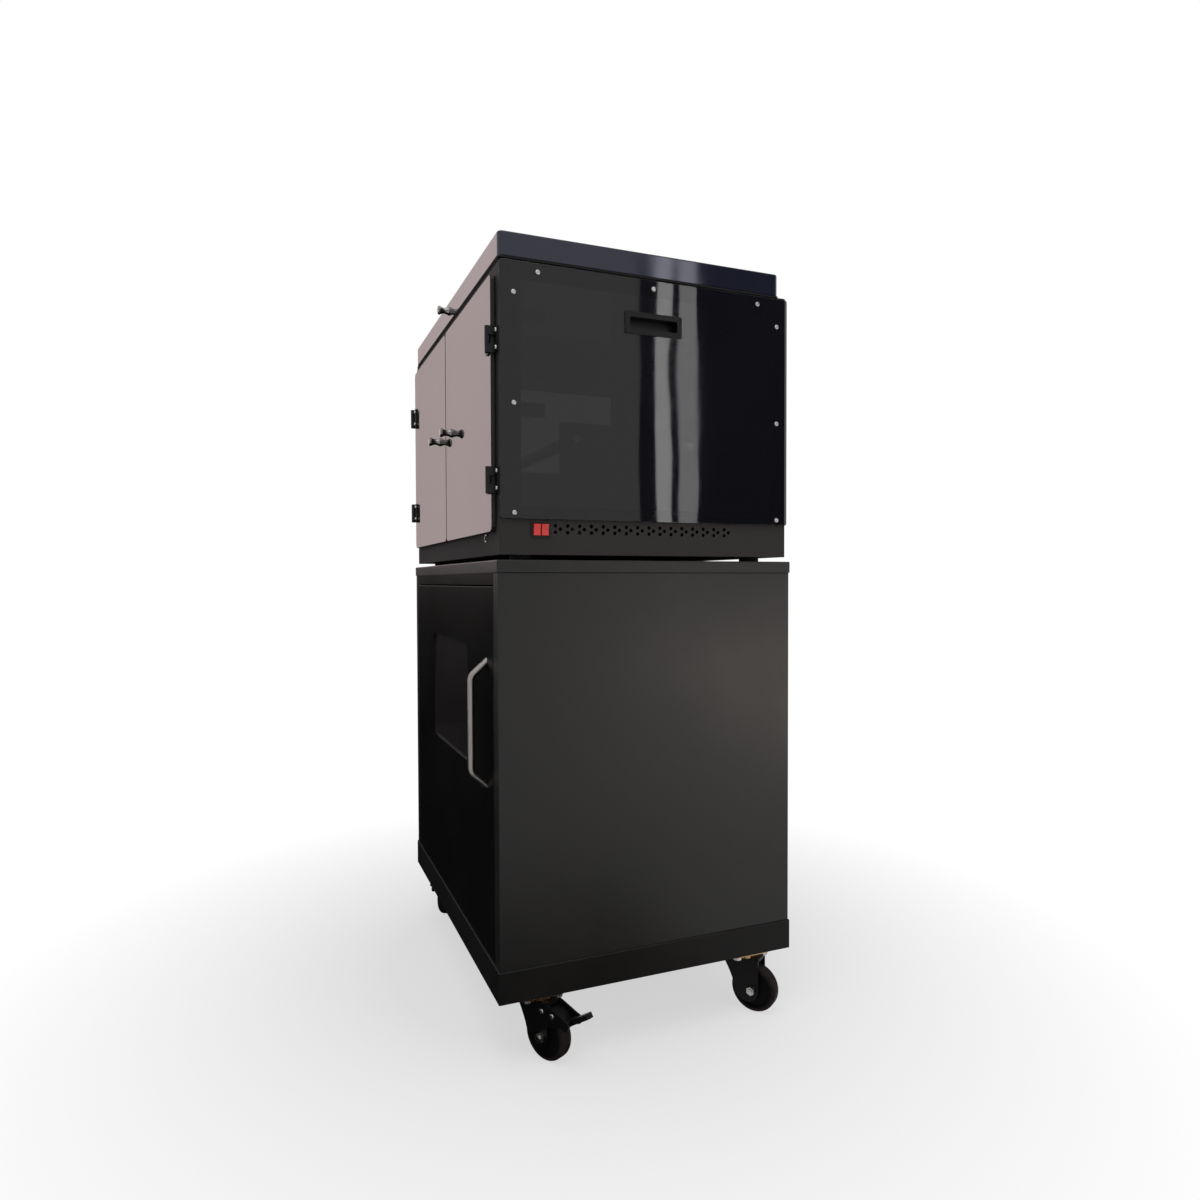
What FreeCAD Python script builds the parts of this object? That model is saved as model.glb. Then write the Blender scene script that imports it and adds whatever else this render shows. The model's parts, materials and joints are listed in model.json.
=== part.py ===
import FreeCAD, Part
import math
import os

# Filament dryer tower: a heated drying chamber with smoked doors, side panels and lid,
# standing on a sheet-steel storage cabinet that rolls on four swivel castors.
# Millimetres. X to the right, the doors face -Y, Z up, origin on the floor under the middle.

Vector = FreeCAD.Vector
X_AXIS = Vector(1, 0, 0)
Y_AXIS = Vector(0, 1, 0)
Z_AXIS = Vector(0, 0, 1)

# Clearances shared by many pieces
running_fit = 0.05
pin_fit = 0.025
slip_fit = 0.25
part_gap = 0.4

# Storage cabinet
cabinet_width = 700.0
cabinet_depth = 520.0
cabinet_height = 675.0
plinth_height = 49.0
plinth_sheet = 2.0
plinth_proud = 2.0
plinth_edge = 1.5
plinth_flange = 110.0
sheet = 1.5
fold = 2.0
cover_skirt = 19.0
flange_width = 26.0
flange_return = 18.0
header_drop = 38.0
header_depth = 20.0
header_end_gap = 1.5
shelf_rise = 300.0
shelf_setback = 40.0
shelf_lip = 25.0

# Cabinet door, its window and its bar handle
door_gap = 2.5
door_depth = 18.0
door_edge = 1.0
window_width = 300.0
window_height = 206.0
window_radius = 18.0
window_drop = 241.0
window_lap = 14.0
window_pane = 4.0
window_seal_depth = 2.0
pivot_inset = 5.0
pivot_radius = 2.5
pivot_plate = 2.0
pivot_plate_size = 16.0
pivot_depth = 8.0
handle_bar = 11.0
handle_span = 196.0
handle_standoff = 25.0
handle_run = 22.0
handle_leg_spare = 1.5
handle_bend = 16.0
handle_drop = 258.0
handle_inset = 71.0
handle_screw = 2.0
handle_screw_length = 9.0
handle_screw_head = 4.5
handle_screw_head_height = 3.0

# Castors
castor_height = 106.0
castor_inset_x = 36.0
castor_inset_y = 71.0
castor_trail = 24.0
wheel_diameter = 80.0
wheel_width = 24.0
wheel_shoulder = 6.0
wheel_rim = 9.0
wheel_dish = 3.0
wheel_boss = 11.0
wheel_side_gap = 0.5
wheel_boss_proud = 1.0
castor_plate = 70.0
castor_plate_thickness = 3.0
castor_plate_corner = 8.0
race_radius = 27.0
race_height = 8.0
crown_corner = 8.0
crown_thickness = 5.0
stem_radius = 6.0
cheek_thickness = 3.0
cheek_end_lead = 31.0
cheek_end_trail = 12.0
cheek_end_drop = 22.0
cheek_top_lead = 34.0
cheek_top_trail = 36.0
cheek_waist_in = 4.0
cheek_waist_drop = 2.0
axle_radius = 4.0
hex_flats = 13.0
bolt_head_height = 5.3
nut_height = 6.5
bolt_end = 2.5
castor_bolt_radius = 4.0
castor_bolt_pitch = 52.0
brake_reach = 72.0
brake_rise = 72.0
brake_boss = 5.0
brake_ear = 8.0
brake_ear_drop = 6.0
brake_arm_drop = 12.0
brake_pin = 3.0
brake_lever_length = 46.0
brake_lever_thickness = 8.0
brake_lever_width = 14.0
brake_lever_round = 6.0
brake_angle = 32.0
guard_gap = 3.0
guard_thickness = 3.0
guard_start = 36.0
guard_sweep = 44.0
front_right_turn = 28.0
rear_right_turn = 35.0
front_left_turn = -35.0
rear_left_turn = 24.0

# Drying chamber: base pan, frame, floor and feet
foot_height = 8.0
foot_radius = 17.0
foot_inset = 45.0
chamber_setback = 5.0
chamber_height = 445.0
base_height = 54.0
base_sheet = 2.0
base_flange = 15.0
frame_sheet = 2.0
floor_sheet = 2.0
floor_margin = 0.5
post_face = 16.0
post_side = 34.0
side_sill = 20.0
side_rail = 30.0
top_flange = 22.0
rear_slot_width = 4.0
rear_slot_height = 46.0
rear_slot_pitch = 10.0
rear_slot_count = 12
rear_slot_drop = 90.0

# Smoked side panels, their screws and their pull cups
panel = 5.0
panel_corner = 4.0
panel_edge = 0.8
panel_top_gap = 4.0
screw_column_inset = 21.6
screw_column_low = 9.0
screw_column_high = 48.0
screw_row_inset = 60.0
screw_row_drop = 14.0
screw_radius = 2.0
screw_head = 3.8
screw_head_height = 2.2
screw_head_round = 1.4
screw_socket = 2.5
screw_socket_depth = 1.2
screw_grip = 4.0
grip_width = 88.0
grip_height = 22.0
grip_depth = 18.0
grip_wall = 2.0
grip_lip = 6.5
grip_lip_thickness = 1.5
grip_corner = 3.0
grip_drop = 75.0
grip_cut_gap = 5.0

# Front doors, their seal, hinges and pull knobs
door_bottom_strip = 35.0
door_top_strip = 21.0
door_lap = 14.0
door_panel = 6.0
door_corner = 10.0
doors_seam = 4.0
door_seal = 2.0
door_seal_width = 8.0
door_seal_inset = 3.0
hinge_height = 40.0
hinge_leaf_width = 22.0
hinge_leaf = 2.5
hinge_gap = 1.0
hinge_knuckle = 4.5
hinge_pin = 2.0
hinge_spread = 211.0
hinge_drop = 11.0
hinge_screw_pitch = 26.0
hinge_screw_out = 8.6
hinge_leaf_corner = 3.0
knob_base = 7.8
knob_waist = 5.4
knob_end = 8.2
knob_length = 22.0
knob_rim = 4.0
knob_from_seam = 50.0
knob_screw = 2.0
knob_screw_depth = 10.0
knob_screw_head = 4.5
knob_screw_head_height = 2.5

# Lid, its seal and its hinges
lid_height = 40.0
lid_seal = 3.0
lid_seal_width = 8.0
lid_seal_inset = 1.0
lid_step = 14.0
lid_wall = 4.0
lid_corner = 8.0
lid_edge = 2.5
lid_hinge_spread = 400.0
lid_hinge_length = 50.0
lid_leaf = 2.0
lid_leaf_height = 28.0

# Rocker switch, vents, push button and power inlet
switch_from_front = 64.5
switch_rise = 39.0
switch_width = 31.0
switch_height = 25.5
switch_bezel = 2.0
switch_rim = 2.0
switch_wall = 1.2
switch_depth = 18.0
rocker_gap = 0.4
rocker_proud = 3.0
rocker_back = 7.0
rocker_toe = 3.0
rocker_trunnion = 1.5
rocker_trunnion_length = 0.9
trunnion_skin = 0.15
rocker_tilt = 8.0
vent_hole = 3.0
vent_from_front = 88.7
vent_rise = 40.0
vent_pair = 10.0
vent_step = 8.0
vent_pitch = 20.0
vent_rear_margin = 110.0
button_from_side = 79.0
button_rise = 28.0
button_flange = 6.5
button_flange_thickness = 1.5
button_barrel = 5.0
button_barrel_length = 14.0
button_radius = 4.0
button_proud = 1.6
button_travel = 1.2
button_length = 10.0
inlet_from_side = 120.0
inlet_width = 28.0
inlet_height = 21.0
inlet_lip = 10.0
inlet_lip_thickness = 3.0
inlet_depth = 22.0
inlet_wall = 2.0
inlet_floor = 5.0
inlet_blade_width = 4.0
inlet_blade_thickness = 2.0
inlet_blade_length = 12.0
inlet_blade_pitch = 7.0

# Drying gear: spool rods and stands, fan, heater, sensor, supply and board
stand_from_middle = 300.0
stand_sheet = 3.0
stand_foot = 28.0
stand_end = 26.0
rod_radius = 10.0
journal_radius = 6.0
rod_shoulder_gap = 1.0
rod_overhang = 8.0
rod_rise = 132.0
rod_spacing = 206.0
rods_forward = 15.0
fan_size = 92.0
fan_depth = 25.0
fan_leg = 12.0
fan_leg_size = 12.0
fan_wall = 3.0
fan_arm = 6.0
fan_boss = 16.0
fan_boss_depth = 4.0
fan_hub = 17.0
fan_hub_length = 16.0
fan_blades = 7
fan_blade_chord = 18.0
fan_blade_thickness = 2.0
fan_blade_angle = 38.0
fan_tip_gap = 2.5
fan_shaft = 2.5
fan_rise = 130.0
heater_depth = 20.0
heater_rim = 4.0
heater_fins = 9
heater_fin = 1.2
heater_bar = 6.0
sensor_width = 40.0
sensor_height = 26.0
sensor_depth = 14.0
sensor_rise = 150.0
sensor_from_middle = 180.0
sensor_slot = 2.0
sensor_slot_width = 28.0
sensor_slot_depth = 7.0
sensor_slot_pitch = 7.0
supply_length = 200.0
supply_width = 100.0
supply_height = 38.0
supply_from_side = 145.0
supply_terminal = 18.0
board_width = 130.0
board_depth = 90.0
board_sheet = 1.6
board_rise = 6.0
board_post = 3.0
board_inset = 6.0
board_from_middle = 80.0
chip_size = 18.0
chip_height = 6.0
chip_pitch = 32.0
can_radius = 6.0
can_height = 12.0
can_from_edge = 15.0

# Levels
cabinet_bottom = castor_height
plinth_top = cabinet_bottom + plinth_height
cabinet_top = cabinet_bottom + cabinet_height
shell_top = cabinet_top - sheet
header_bottom = cabinet_top - header_drop
chamber_bottom = cabinet_top + foot_height
base_top = chamber_bottom + base_height
floor_top = base_top + floor_sheet
chamber_top = chamber_bottom + chamber_height
lid_bottom = chamber_top + lid_seal + part_gap
lid_top = chamber_top + lid_height

# Reaches across and along: the handle stands furthest forward, the plinth furthest back
half_width = cabinet_width / 2
handle_reach = handle_standoff + handle_bar / 2
front = handle_reach - (cabinet_depth + handle_reach + plinth_proud) / 2
rear = front + cabinet_depth
frame_half = half_width - panel
chamber_front = front + chamber_setback
chamber_rear = rear - chamber_setback
chamber_middle = (chamber_front + chamber_rear) / 2
lid_rear = chamber_rear - lid_step


def block(x0, x1, y0, y1, z0, z1):
    return Part.makeBox(x1 - x0, y1 - y0, z1 - z0, Vector(x0, y0, z0))


def rod(radius, start, end):
    way = end.sub(start)
    return Part.makeCylinder(radius, way.Length, start, way)


def fuse(shapes):
    return shapes[0].multiFuse(shapes[1:]).removeSplitter()


def group(shapes):
    return Part.makeCompound(shapes)


def mirrored(shape):
    return shape.mirror(Vector(0, 0, 0), X_AXIS)


def round_edges(shape, direction, radius):
    along = [edge for edge in shape.Edges
             if isinstance(edge.Curve, Part.Line) and edge.Curve.Direction.cross(direction).Length < 1e-6]
    return shape.makeFillet(radius, along)


def rounded(x0, x1, y0, y1, z0, z1, direction, radius):
    return round_edges(block(x0, x1, y0, y1, z0, z1), direction, radius)


def prism(points, way):
    corners = [Vector(*point) for point in points]
    return Part.Face(Part.makePolygon(corners + corners[:1])).extrude(way)


def hexagon(flats, start, way):
    ring = []
    turn = FreeCAD.Rotation(Z_AXIS, way)
    for corner in range(6):
        angle = math.radians(60 * corner + 30)
        reach = flats / math.sqrt(3)
        ring.append(start + turn.multVec(Vector(reach * math.cos(angle), reach * math.sin(angle), 0)))
    return Part.Face(Part.makePolygon(ring + ring[:1])).extrude(way)


def placed(shape, position, facing):
    copy = shape.copy()
    copy.Placement = FreeCAD.Placement(position, FreeCAD.Rotation(Z_AXIS, facing)).multiply(copy.Placement)
    return copy


pieces = {}

# Cabinet plinth: a closed-top pan, a little proud of the shell, whose bottom flange carries the castors
plinth_box = rounded(-half_width - plinth_proud, half_width + plinth_proud, front - plinth_proud,
                     rear + plinth_proud, cabinet_bottom, plinth_top, Z_AXIS, fold)
plinth_rim = [edge for edge in plinth_box.Edges if abs(edge.BoundBox.ZMin - plinth_top) < 1e-6]
plinth_box = plinth_box.makeFillet(plinth_edge, plinth_rim)
plinth_hollow = block(-half_width + plinth_sheet, half_width - plinth_sheet, front + plinth_sheet,
                      rear - plinth_sheet, cabinet_bottom + plinth_sheet, plinth_top - plinth_sheet)
plinth_mouth = block(-half_width + plinth_flange, half_width - plinth_flange, front + plinth_flange,
                     rear - plinth_flange, cabinet_bottom - plinth_sheet, cabinet_bottom + 2 * plinth_sheet)
castor_spots = {
    "front_right": (half_width - castor_inset_x, front + castor_inset_y, front_right_turn),
    "rear_right": (half_width - castor_inset_x, rear - castor_inset_y, rear_right_turn),
    "front_left": (-half_width + castor_inset_x, front + castor_inset_y, front_left_turn),
    "rear_left": (-half_width + castor_inset_x, rear - castor_inset_y, rear_left_turn),
}
braked_castors = ("front_right", "front_left")
castor_bolt_spots = []
for spot_x, spot_y, spot_turn in castor_spots.values():
    for side_x in (-1, 1):
        for side_y in (-1, 1):
            castor_bolt_spots.append((spot_x + side_x * castor_bolt_pitch / 2,
                                      spot_y + side_y * castor_bolt_pitch / 2))
plinth_holes = [rod(castor_bolt_radius + slip_fit, Vector(hole_x, hole_y, cabinet_bottom - plinth_sheet),
                    Vector(hole_x, hole_y, cabinet_bottom + 2 * plinth_sheet))
                for hole_x, hole_y in castor_bolt_spots]
pieces["cabinet_base"] = plinth_box.cut([plinth_hollow, plinth_mouth] + plinth_holes)

# Cabinet shell: sides, back and front flanges folded from one sheet
shell_box = rounded(-half_width, half_width, front, rear, plinth_top, shell_top, Z_AXIS, fold)
shell_hollow = block(-half_width + sheet, half_width - sheet, front + sheet, rear - sheet,
                     plinth_top - sheet, shell_top + sheet)
flange_edge = half_width - flange_width
shell_mouth = block(-flange_edge, flange_edge, front - sheet, front + 2 * sheet,
                    plinth_top - sheet, shell_top + sheet)
right_return = block(flange_edge, flange_edge + sheet, front, front + flange_return, plinth_top, shell_top)
pieces["cabinet_shell"] = fuse([shell_box.cut([shell_hollow, shell_mouth]), right_return,
                                mirrored(right_return)])

# Cabinet cover: a flat top with a folded skirt round the shell
cover_box = rounded(-half_width - sheet, half_width + sheet, front - sheet, rear + sheet,
                    cabinet_top - cover_skirt, cabinet_top, Z_AXIS, fold)
cover_rim = [edge for edge in cover_box.Edges if abs(edge.BoundBox.ZMin - cabinet_top) < 1e-6]
cover_box = cover_box.makeFillet(fold, cover_rim)
cover_hollow = block(-half_width, half_width, front, rear, cabinet_top - cover_skirt - sheet, shell_top)
pieces["cabinet_top"] = cover_box.cut(cover_hollow)

# Header rail: a channel under the cover, between the flanges and above the door
header_half = flange_edge - header_end_gap
header_box = block(-header_half, header_half, front, front + header_depth, header_bottom, shell_top)
header_hollow = block(-flange_edge - sheet, flange_edge + sheet, front + sheet, front + 2 * header_depth,
                      header_bottom + sheet, shell_top - sheet)
pieces["header_rail"] = header_box.cut(header_hollow)

# Shelf: a plate with lips turned down all round, held between the cabinet walls
shelf_top = plinth_top + shelf_rise
shelf_front = front + shelf_setback
shelf_box = block(-half_width + sheet, half_width - sheet, shelf_front, rear - sheet,
                  shelf_top - shelf_lip, shelf_top)
shelf_hollow = block(-half_width + 2 * sheet, half_width - 2 * sheet, shelf_front + sheet, rear - 2 * sheet,
                     shelf_top - shelf_lip - sheet, shelf_top - sheet)
pieces["cabinet_shelf"] = shelf_box.cut(shelf_hollow)

# Cabinet door: a pan with a window cut in its skin, turning on two pins at its left edge
door_half = flange_edge - door_gap
door_bottom = plinth_top + door_gap
door_top = header_bottom - door_gap
pivot_x = -door_half + pivot_inset
pivot_y = front + pivot_inset
door_box = block(-door_half, door_half, front, front + door_depth, door_bottom, door_top)
door_rim = [edge for edge in door_box.Edges if abs(edge.BoundBox.YMax - front) < 1e-6]
door_box = door_box.makeFillet(door_edge, door_rim)
door_hollow = block(-door_half + sheet, door_half - sheet, front + sheet, front + 2 * door_depth,
                    door_bottom + sheet, door_top - sheet)
window_middle = cabinet_top - window_drop


def window_plate(margin, y0, y1):
    return rounded(-window_width / 2 - margin, window_width / 2 + margin, y0, y1,
                   window_middle - window_height / 2 - margin, window_middle + window_height / 2 + margin,
                   Y_AXIS, window_radius + margin)


handle_x = half_width - handle_inset
handle_middle = cabinet_top - handle_drop
handle_feet = (handle_middle + handle_span / 2, handle_middle - handle_span / 2)
handle_holes = [rod(handle_screw + slip_fit, Vector(handle_x, front - sheet, foot),
                    Vector(handle_x, front + 2 * sheet, foot)) for foot in handle_feet]
pivot_hole = rod(pivot_radius + running_fit, Vector(pivot_x, pivot_y, door_bottom - sheet),
                 Vector(pivot_x, pivot_y, door_top + sheet))
window_hole = window_plate(0, front - sheet, front + 2 * sheet)
pieces["cabinet_door"] = door_box.cut([door_hollow, window_hole, pivot_hole] + handle_holes)

# Window: a rubber seal bonded behind the skin, and the pane bonded to the seal
seal_front = front + sheet
pane_front = seal_front + window_seal_depth
pieces["window_seal"] = window_plate(window_lap, seal_front, pane_front).cut(
    window_plate(0, seal_front - sheet, pane_front + sheet))
pieces["door_window"] = window_plate(window_lap, pane_front, pane_front + window_pane)

# Door pivots: a plate with a welded pin above the door and one below it
pivots = []
for plate_bottom, pin_end in ((header_bottom - pivot_plate, door_top - pivot_depth),
                              (plinth_top, door_bottom + pivot_depth)):
    plate = block(pivot_x - pivot_inset, pivot_x + pivot_plate_size, front + sheet, front + pivot_plate_size,
                  plate_bottom, plate_bottom + pivot_plate)
    pin = rod(pivot_radius, Vector(pivot_x, pivot_y, plate_bottom + pivot_plate / 2),
              Vector(pivot_x, pivot_y, pin_end))
    pivots.append(fuse([plate, pin]))
pieces["door_pivots"] = group(pivots)


# Bar handle: a round bar bent out to a straight grip, cut off flush where it meets the door
def bent_bar(points, bend, radius):
    edges = []
    start = points[0]
    for before, corner, after in zip(points, points[1:], points[2:]):
        arriving = corner.sub(before).normalize()
        leaving = after.sub(corner).normalize()
        turn = arriving.getAngle(leaving)
        trim = bend * math.tan(turn / 2)
        arc_start = corner - arriving * trim
        arc_end = corner + leaving * trim
        inward = (leaving - arriving).normalize()
        arc_middle = corner + inward * (bend / math.cos(turn / 2) - bend)
        edges.append(Part.LineSegment(start, arc_start).toShape())
        edges.append(Part.Arc(arc_start, arc_middle, arc_end).toShape())
        start = arc_end
    edges.append(Part.LineSegment(start, points[-1]).toShape())
    section = Part.Wire(Part.makeCircle(radius, points[0], points[1].sub(points[0])))
    return Part.Wire(edges).makePipeShell([section], True, False)


grip_y = front - handle_standoff
upper_leg = Vector(0, handle_standoff, handle_run)
grip_upper = Vector(handle_x, grip_y, handle_feet[0] - handle_run)
grip_lower = Vector(handle_x, grip_y, handle_feet[1] + handle_run)
lower_leg = Vector(0, handle_standoff, -handle_run)
handle = bent_bar([grip_upper + upper_leg * handle_leg_spare, grip_upper, grip_lower,
                   grip_lower + lower_leg * handle_leg_spare], handle_bend, handle_bar / 2)
handle = handle.cut(block(handle_x - handle_bar, handle_x + handle_bar, front, front + handle_standoff,
                          handle_feet[1] - handle_span, handle_feet[0] + handle_span))
handle = handle.cut([rod(handle_screw + running_fit, Vector(handle_x, front + sheet, foot),
                         Vector(handle_x, front - handle_screw_length, foot)) for foot in handle_feet])
handle_screws = []
for foot in handle_feet:
    shank = rod(handle_screw, Vector(handle_x, front + sheet, foot),
                Vector(handle_x, front - handle_screw_length + part_gap, foot))
    head = rod(handle_screw_head, Vector(handle_x, front + sheet, foot),
               Vector(handle_x, front + sheet + handle_screw_head_height, foot))
    handle_screws.append(fuse([shank, head]))
pieces["door_handle"] = group([handle] + handle_screws)

# Castors, drawn trailing along +X over the origin and then turned and moved to their corners
wheel_radius = wheel_diameter / 2
plate_under = castor_height - castor_plate_thickness
race_under = plate_under - race_height
crown_top = race_under - part_gap
crown_under = crown_top - crown_thickness
boss_half = wheel_width / 2 + wheel_boss_proud
cheek_inner = boss_half + wheel_side_gap
cheek_outer = cheek_inner + cheek_thickness
axle_centre = Vector(castor_trail, 0, wheel_radius)


def castor_plate_shape():
    half = castor_plate / 2
    plate = rounded(-half, half, -half, half, plate_under, castor_height, Z_AXIS, castor_plate_corner)
    race = rod(race_radius, Vector(0, 0, race_under), Vector(0, 0, plate_under))
    bore = rod(stem_radius + running_fit, Vector(0, 0, race_under - race_height),
               Vector(0, 0, castor_height + castor_plate_thickness))
    holes = []
    for hole_x in (-castor_bolt_pitch / 2, castor_bolt_pitch / 2):
        for hole_y in (-castor_bolt_pitch / 2, castor_bolt_pitch / 2):
            holes.append(rod(castor_bolt_radius + slip_fit, Vector(hole_x, hole_y, race_under),
                             Vector(hole_x, hole_y, castor_height + race_height)))
    return fuse([plate, race]).cut([bore] + holes)


def castor_cheek(side, braked):
    y0 = side * cheek_inner
    way = Vector(0, side * cheek_thickness, 0)
    top = crown_under + crown_thickness / 2
    lead_top = Vector(-cheek_top_lead, y0, top)
    trail_top = Vector(cheek_top_trail, y0, top)
    trail_low = Vector(castor_trail + cheek_end_trail, y0, wheel_radius)
    lead_low = Vector(castor_trail - cheek_end_lead, y0, wheel_radius)
    lowest = (trail_low + lead_low) * 0.5 - Z_AXIS * cheek_end_drop
    waist = (lead_top + lead_low) * 0.5 + Vector(cheek_waist_in, 0, -cheek_waist_drop)
    outline = Part.Wire([Part.LineSegment(lead_top, trail_top).toShape(),
                         Part.LineSegment(trail_top, trail_low).toShape(),
                         Part.Arc(trail_low, lowest, lead_low).toShape(),
                         Part.Arc(lead_low, waist, lead_top).toShape()])
    cheek = Part.Face(outline).extrude(way)
    if braked:
        ear_centre = Vector(brake_reach, y0, brake_rise)
        ear = rod(brake_ear, ear_centre, ear_centre + way)
        arm = prism([(0, y0, top), (cheek_top_trail, y0, top), (brake_reach, y0, brake_rise + brake_ear),
                     (brake_reach - brake_ear, y0, brake_rise - brake_ear_drop),
                     (cheek_top_trail, y0, brake_rise - brake_arm_drop),
                     (0, y0, brake_rise - brake_arm_drop)], way)
        cheek = fuse([cheek, arm, ear])
        cheek = cheek.cut(rod(brake_pin + running_fit, ear_centre - way, ear_centre + way * 2))
    axle_at = Vector(castor_trail, y0, wheel_radius)
    return cheek.cut(rod(axle_radius + running_fit, axle_at - way, axle_at + way * 2))


def wheel_guard():
    inner = wheel_radius + guard_gap
    bend = Vector(castor_trail + inner, -cheek_outer + cheek_thickness / 2, wheel_radius)
    section = Part.makePlane(guard_thickness, 2 * cheek_outer - cheek_thickness, bend)
    guard = section.revolve(axle_centre, Y_AXIS, -guard_sweep)
    guard.rotate(axle_centre, Y_AXIS, -guard_start)
    return guard


def castor_fork_shape(braked):
    crown = rounded(-cheek_top_lead, cheek_top_trail, -cheek_outer, cheek_outer, crown_under, crown_top,
                    Z_AXIS, crown_corner)
    stem = rod(stem_radius, Vector(0, 0, crown_under), Vector(0, 0, castor_height - part_gap))
    guards = [wheel_guard()] if braked else []
    return fuse([crown, stem, castor_cheek(-1, braked), castor_cheek(1, braked)] + guards)


def castor_wheel_shape():
    half = wheel_width / 2
    rim = wheel_radius - wheel_rim
    bore = axle_radius + running_fit
    shoulder = wheel_radius - wheel_shoulder * (1 - math.sqrt(0.5))
    side = half - wheel_shoulder * (1 - math.sqrt(0.5))

    def at(radius, y):
        return Vector(castor_trail + radius, y, wheel_radius)

    profile = [Part.LineSegment(at(bore, boss_half), at(bore, -boss_half)).toShape(),
               Part.LineSegment(at(bore, -boss_half), at(wheel_boss, -boss_half)).toShape(),
               Part.LineSegment(at(wheel_boss, -boss_half), at(wheel_boss, -half + wheel_dish)).toShape(),
               Part.LineSegment(at(wheel_boss, -half + wheel_dish), at(rim, -half + wheel_dish)).toShape(),
               Part.LineSegment(at(rim, -half + wheel_dish), at(rim, -half)).toShape(),
               Part.LineSegment(at(rim, -half), at(wheel_radius - wheel_shoulder, -half)).toShape(),
               Part.Arc(at(wheel_radius - wheel_shoulder, -half), at(shoulder, -side),
                        at(wheel_radius, -half + wheel_shoulder)).toShape(),
               Part.LineSegment(at(wheel_radius, -half + wheel_shoulder),
                                at(wheel_radius, half - wheel_shoulder)).toShape(),
               Part.Arc(at(wheel_radius, half - wheel_shoulder), at(shoulder, side),
                        at(wheel_radius - wheel_shoulder, half)).toShape(),
               Part.LineSegment(at(wheel_radius - wheel_shoulder, half), at(rim, half)).toShape(),
               Part.LineSegment(at(rim, half), at(rim, half - wheel_dish)).toShape(),
               Part.LineSegment(at(rim, half - wheel_dish), at(wheel_boss, half - wheel_dish)).toShape(),
               Part.LineSegment(at(wheel_boss, half - wheel_dish), at(wheel_boss, boss_half)).toShape(),
               Part.LineSegment(at(wheel_boss, boss_half), at(bore, boss_half)).toShape()]
    return Part.Face(Part.Wire(profile)).revolve(axle_centre, Y_AXIS, 360)


def castor_axle_shape():
    head_start = axle_centre + Y_AXIS * cheek_outer
    nut_start = axle_centre - Y_AXIS * cheek_outer
    bolt_tip = nut_start - Y_AXIS * (nut_height + bolt_end)
    shank = rod(axle_radius, head_start, bolt_tip)
    head = hexagon(hex_flats, head_start, Y_AXIS * bolt_head_height)
    nut = hexagon(hex_flats, nut_start, Y_AXIS * -nut_height)
    return fuse([shank, head, nut])


def castor_brake_shape():
    centre = Vector(brake_reach, 0, brake_rise)
    boss_reach = cheek_inner - wheel_side_gap
    boss = rod(brake_boss, centre - Y_AXIS * boss_reach, centre + Y_AXIS * boss_reach)
    pin = rod(brake_pin, centre - Y_AXIS * cheek_outer, centre + Y_AXIS * cheek_outer)
    half = brake_lever_width / 2
    lever = rounded(0, brake_lever_length, -half, half, -brake_lever_thickness / 2, brake_lever_thickness / 2,
                    Z_AXIS, brake_lever_round)
    lever.rotate(Vector(0, 0, 0), Y_AXIS, -brake_angle)
    lever.translate(centre)
    return fuse([boss, pin, lever])


def at_corner(shape, corner):
    spot_x, spot_y, spot_turn = castor_spots[corner]
    copy = shape.copy()
    copy.rotate(Vector(0, 0, 0), Z_AXIS, spot_turn)
    copy.translate(Vector(spot_x, spot_y, 0))
    return copy


plates = []
for spot_x, spot_y, spot_turn in castor_spots.values():
    plate = castor_plate_shape()
    plate.translate(Vector(spot_x, spot_y, 0))
    plates.append(plate)
pieces["castor_plates"] = group(plates)
bolt_top = castor_height + plinth_sheet
castor_bolts = []
for hole_x, hole_y in castor_bolt_spots:
    head = hexagon(hex_flats, Vector(hole_x, hole_y, plate_under), Z_AXIS * -bolt_head_height)
    nut = hexagon(hex_flats, Vector(hole_x, hole_y, bolt_top), Z_AXIS * nut_height)
    shank = rod(castor_bolt_radius, Vector(hole_x, hole_y, plate_under),
                Vector(hole_x, hole_y, bolt_top + nut_height + bolt_end))
    castor_bolts.append(fuse([shank, head, nut]))
for corner in castor_spots:
    pieces[corner + "_fork"] = at_corner(castor_fork_shape(corner in braked_castors), corner)
    pieces[corner + "_axle"] = at_corner(castor_axle_shape(), corner)
    pieces[corner + "_wheel"] = at_corner(castor_wheel_shape(), corner)
for corner in braked_castors:
    pieces[corner + "_brake"] = at_corner(castor_brake_shape(), corner)

# Rubber feet between the cabinet cover and the chamber
feet = []
for foot_x in (-frame_half + foot_inset, frame_half - foot_inset):
    for foot_y in (chamber_front + foot_inset, chamber_rear - foot_inset):
        feet.append(rod(foot_radius, Vector(foot_x, foot_y, cabinet_top),
                        Vector(foot_x, foot_y, chamber_bottom)))
pieces["chamber_feet"] = group(feet)

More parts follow.
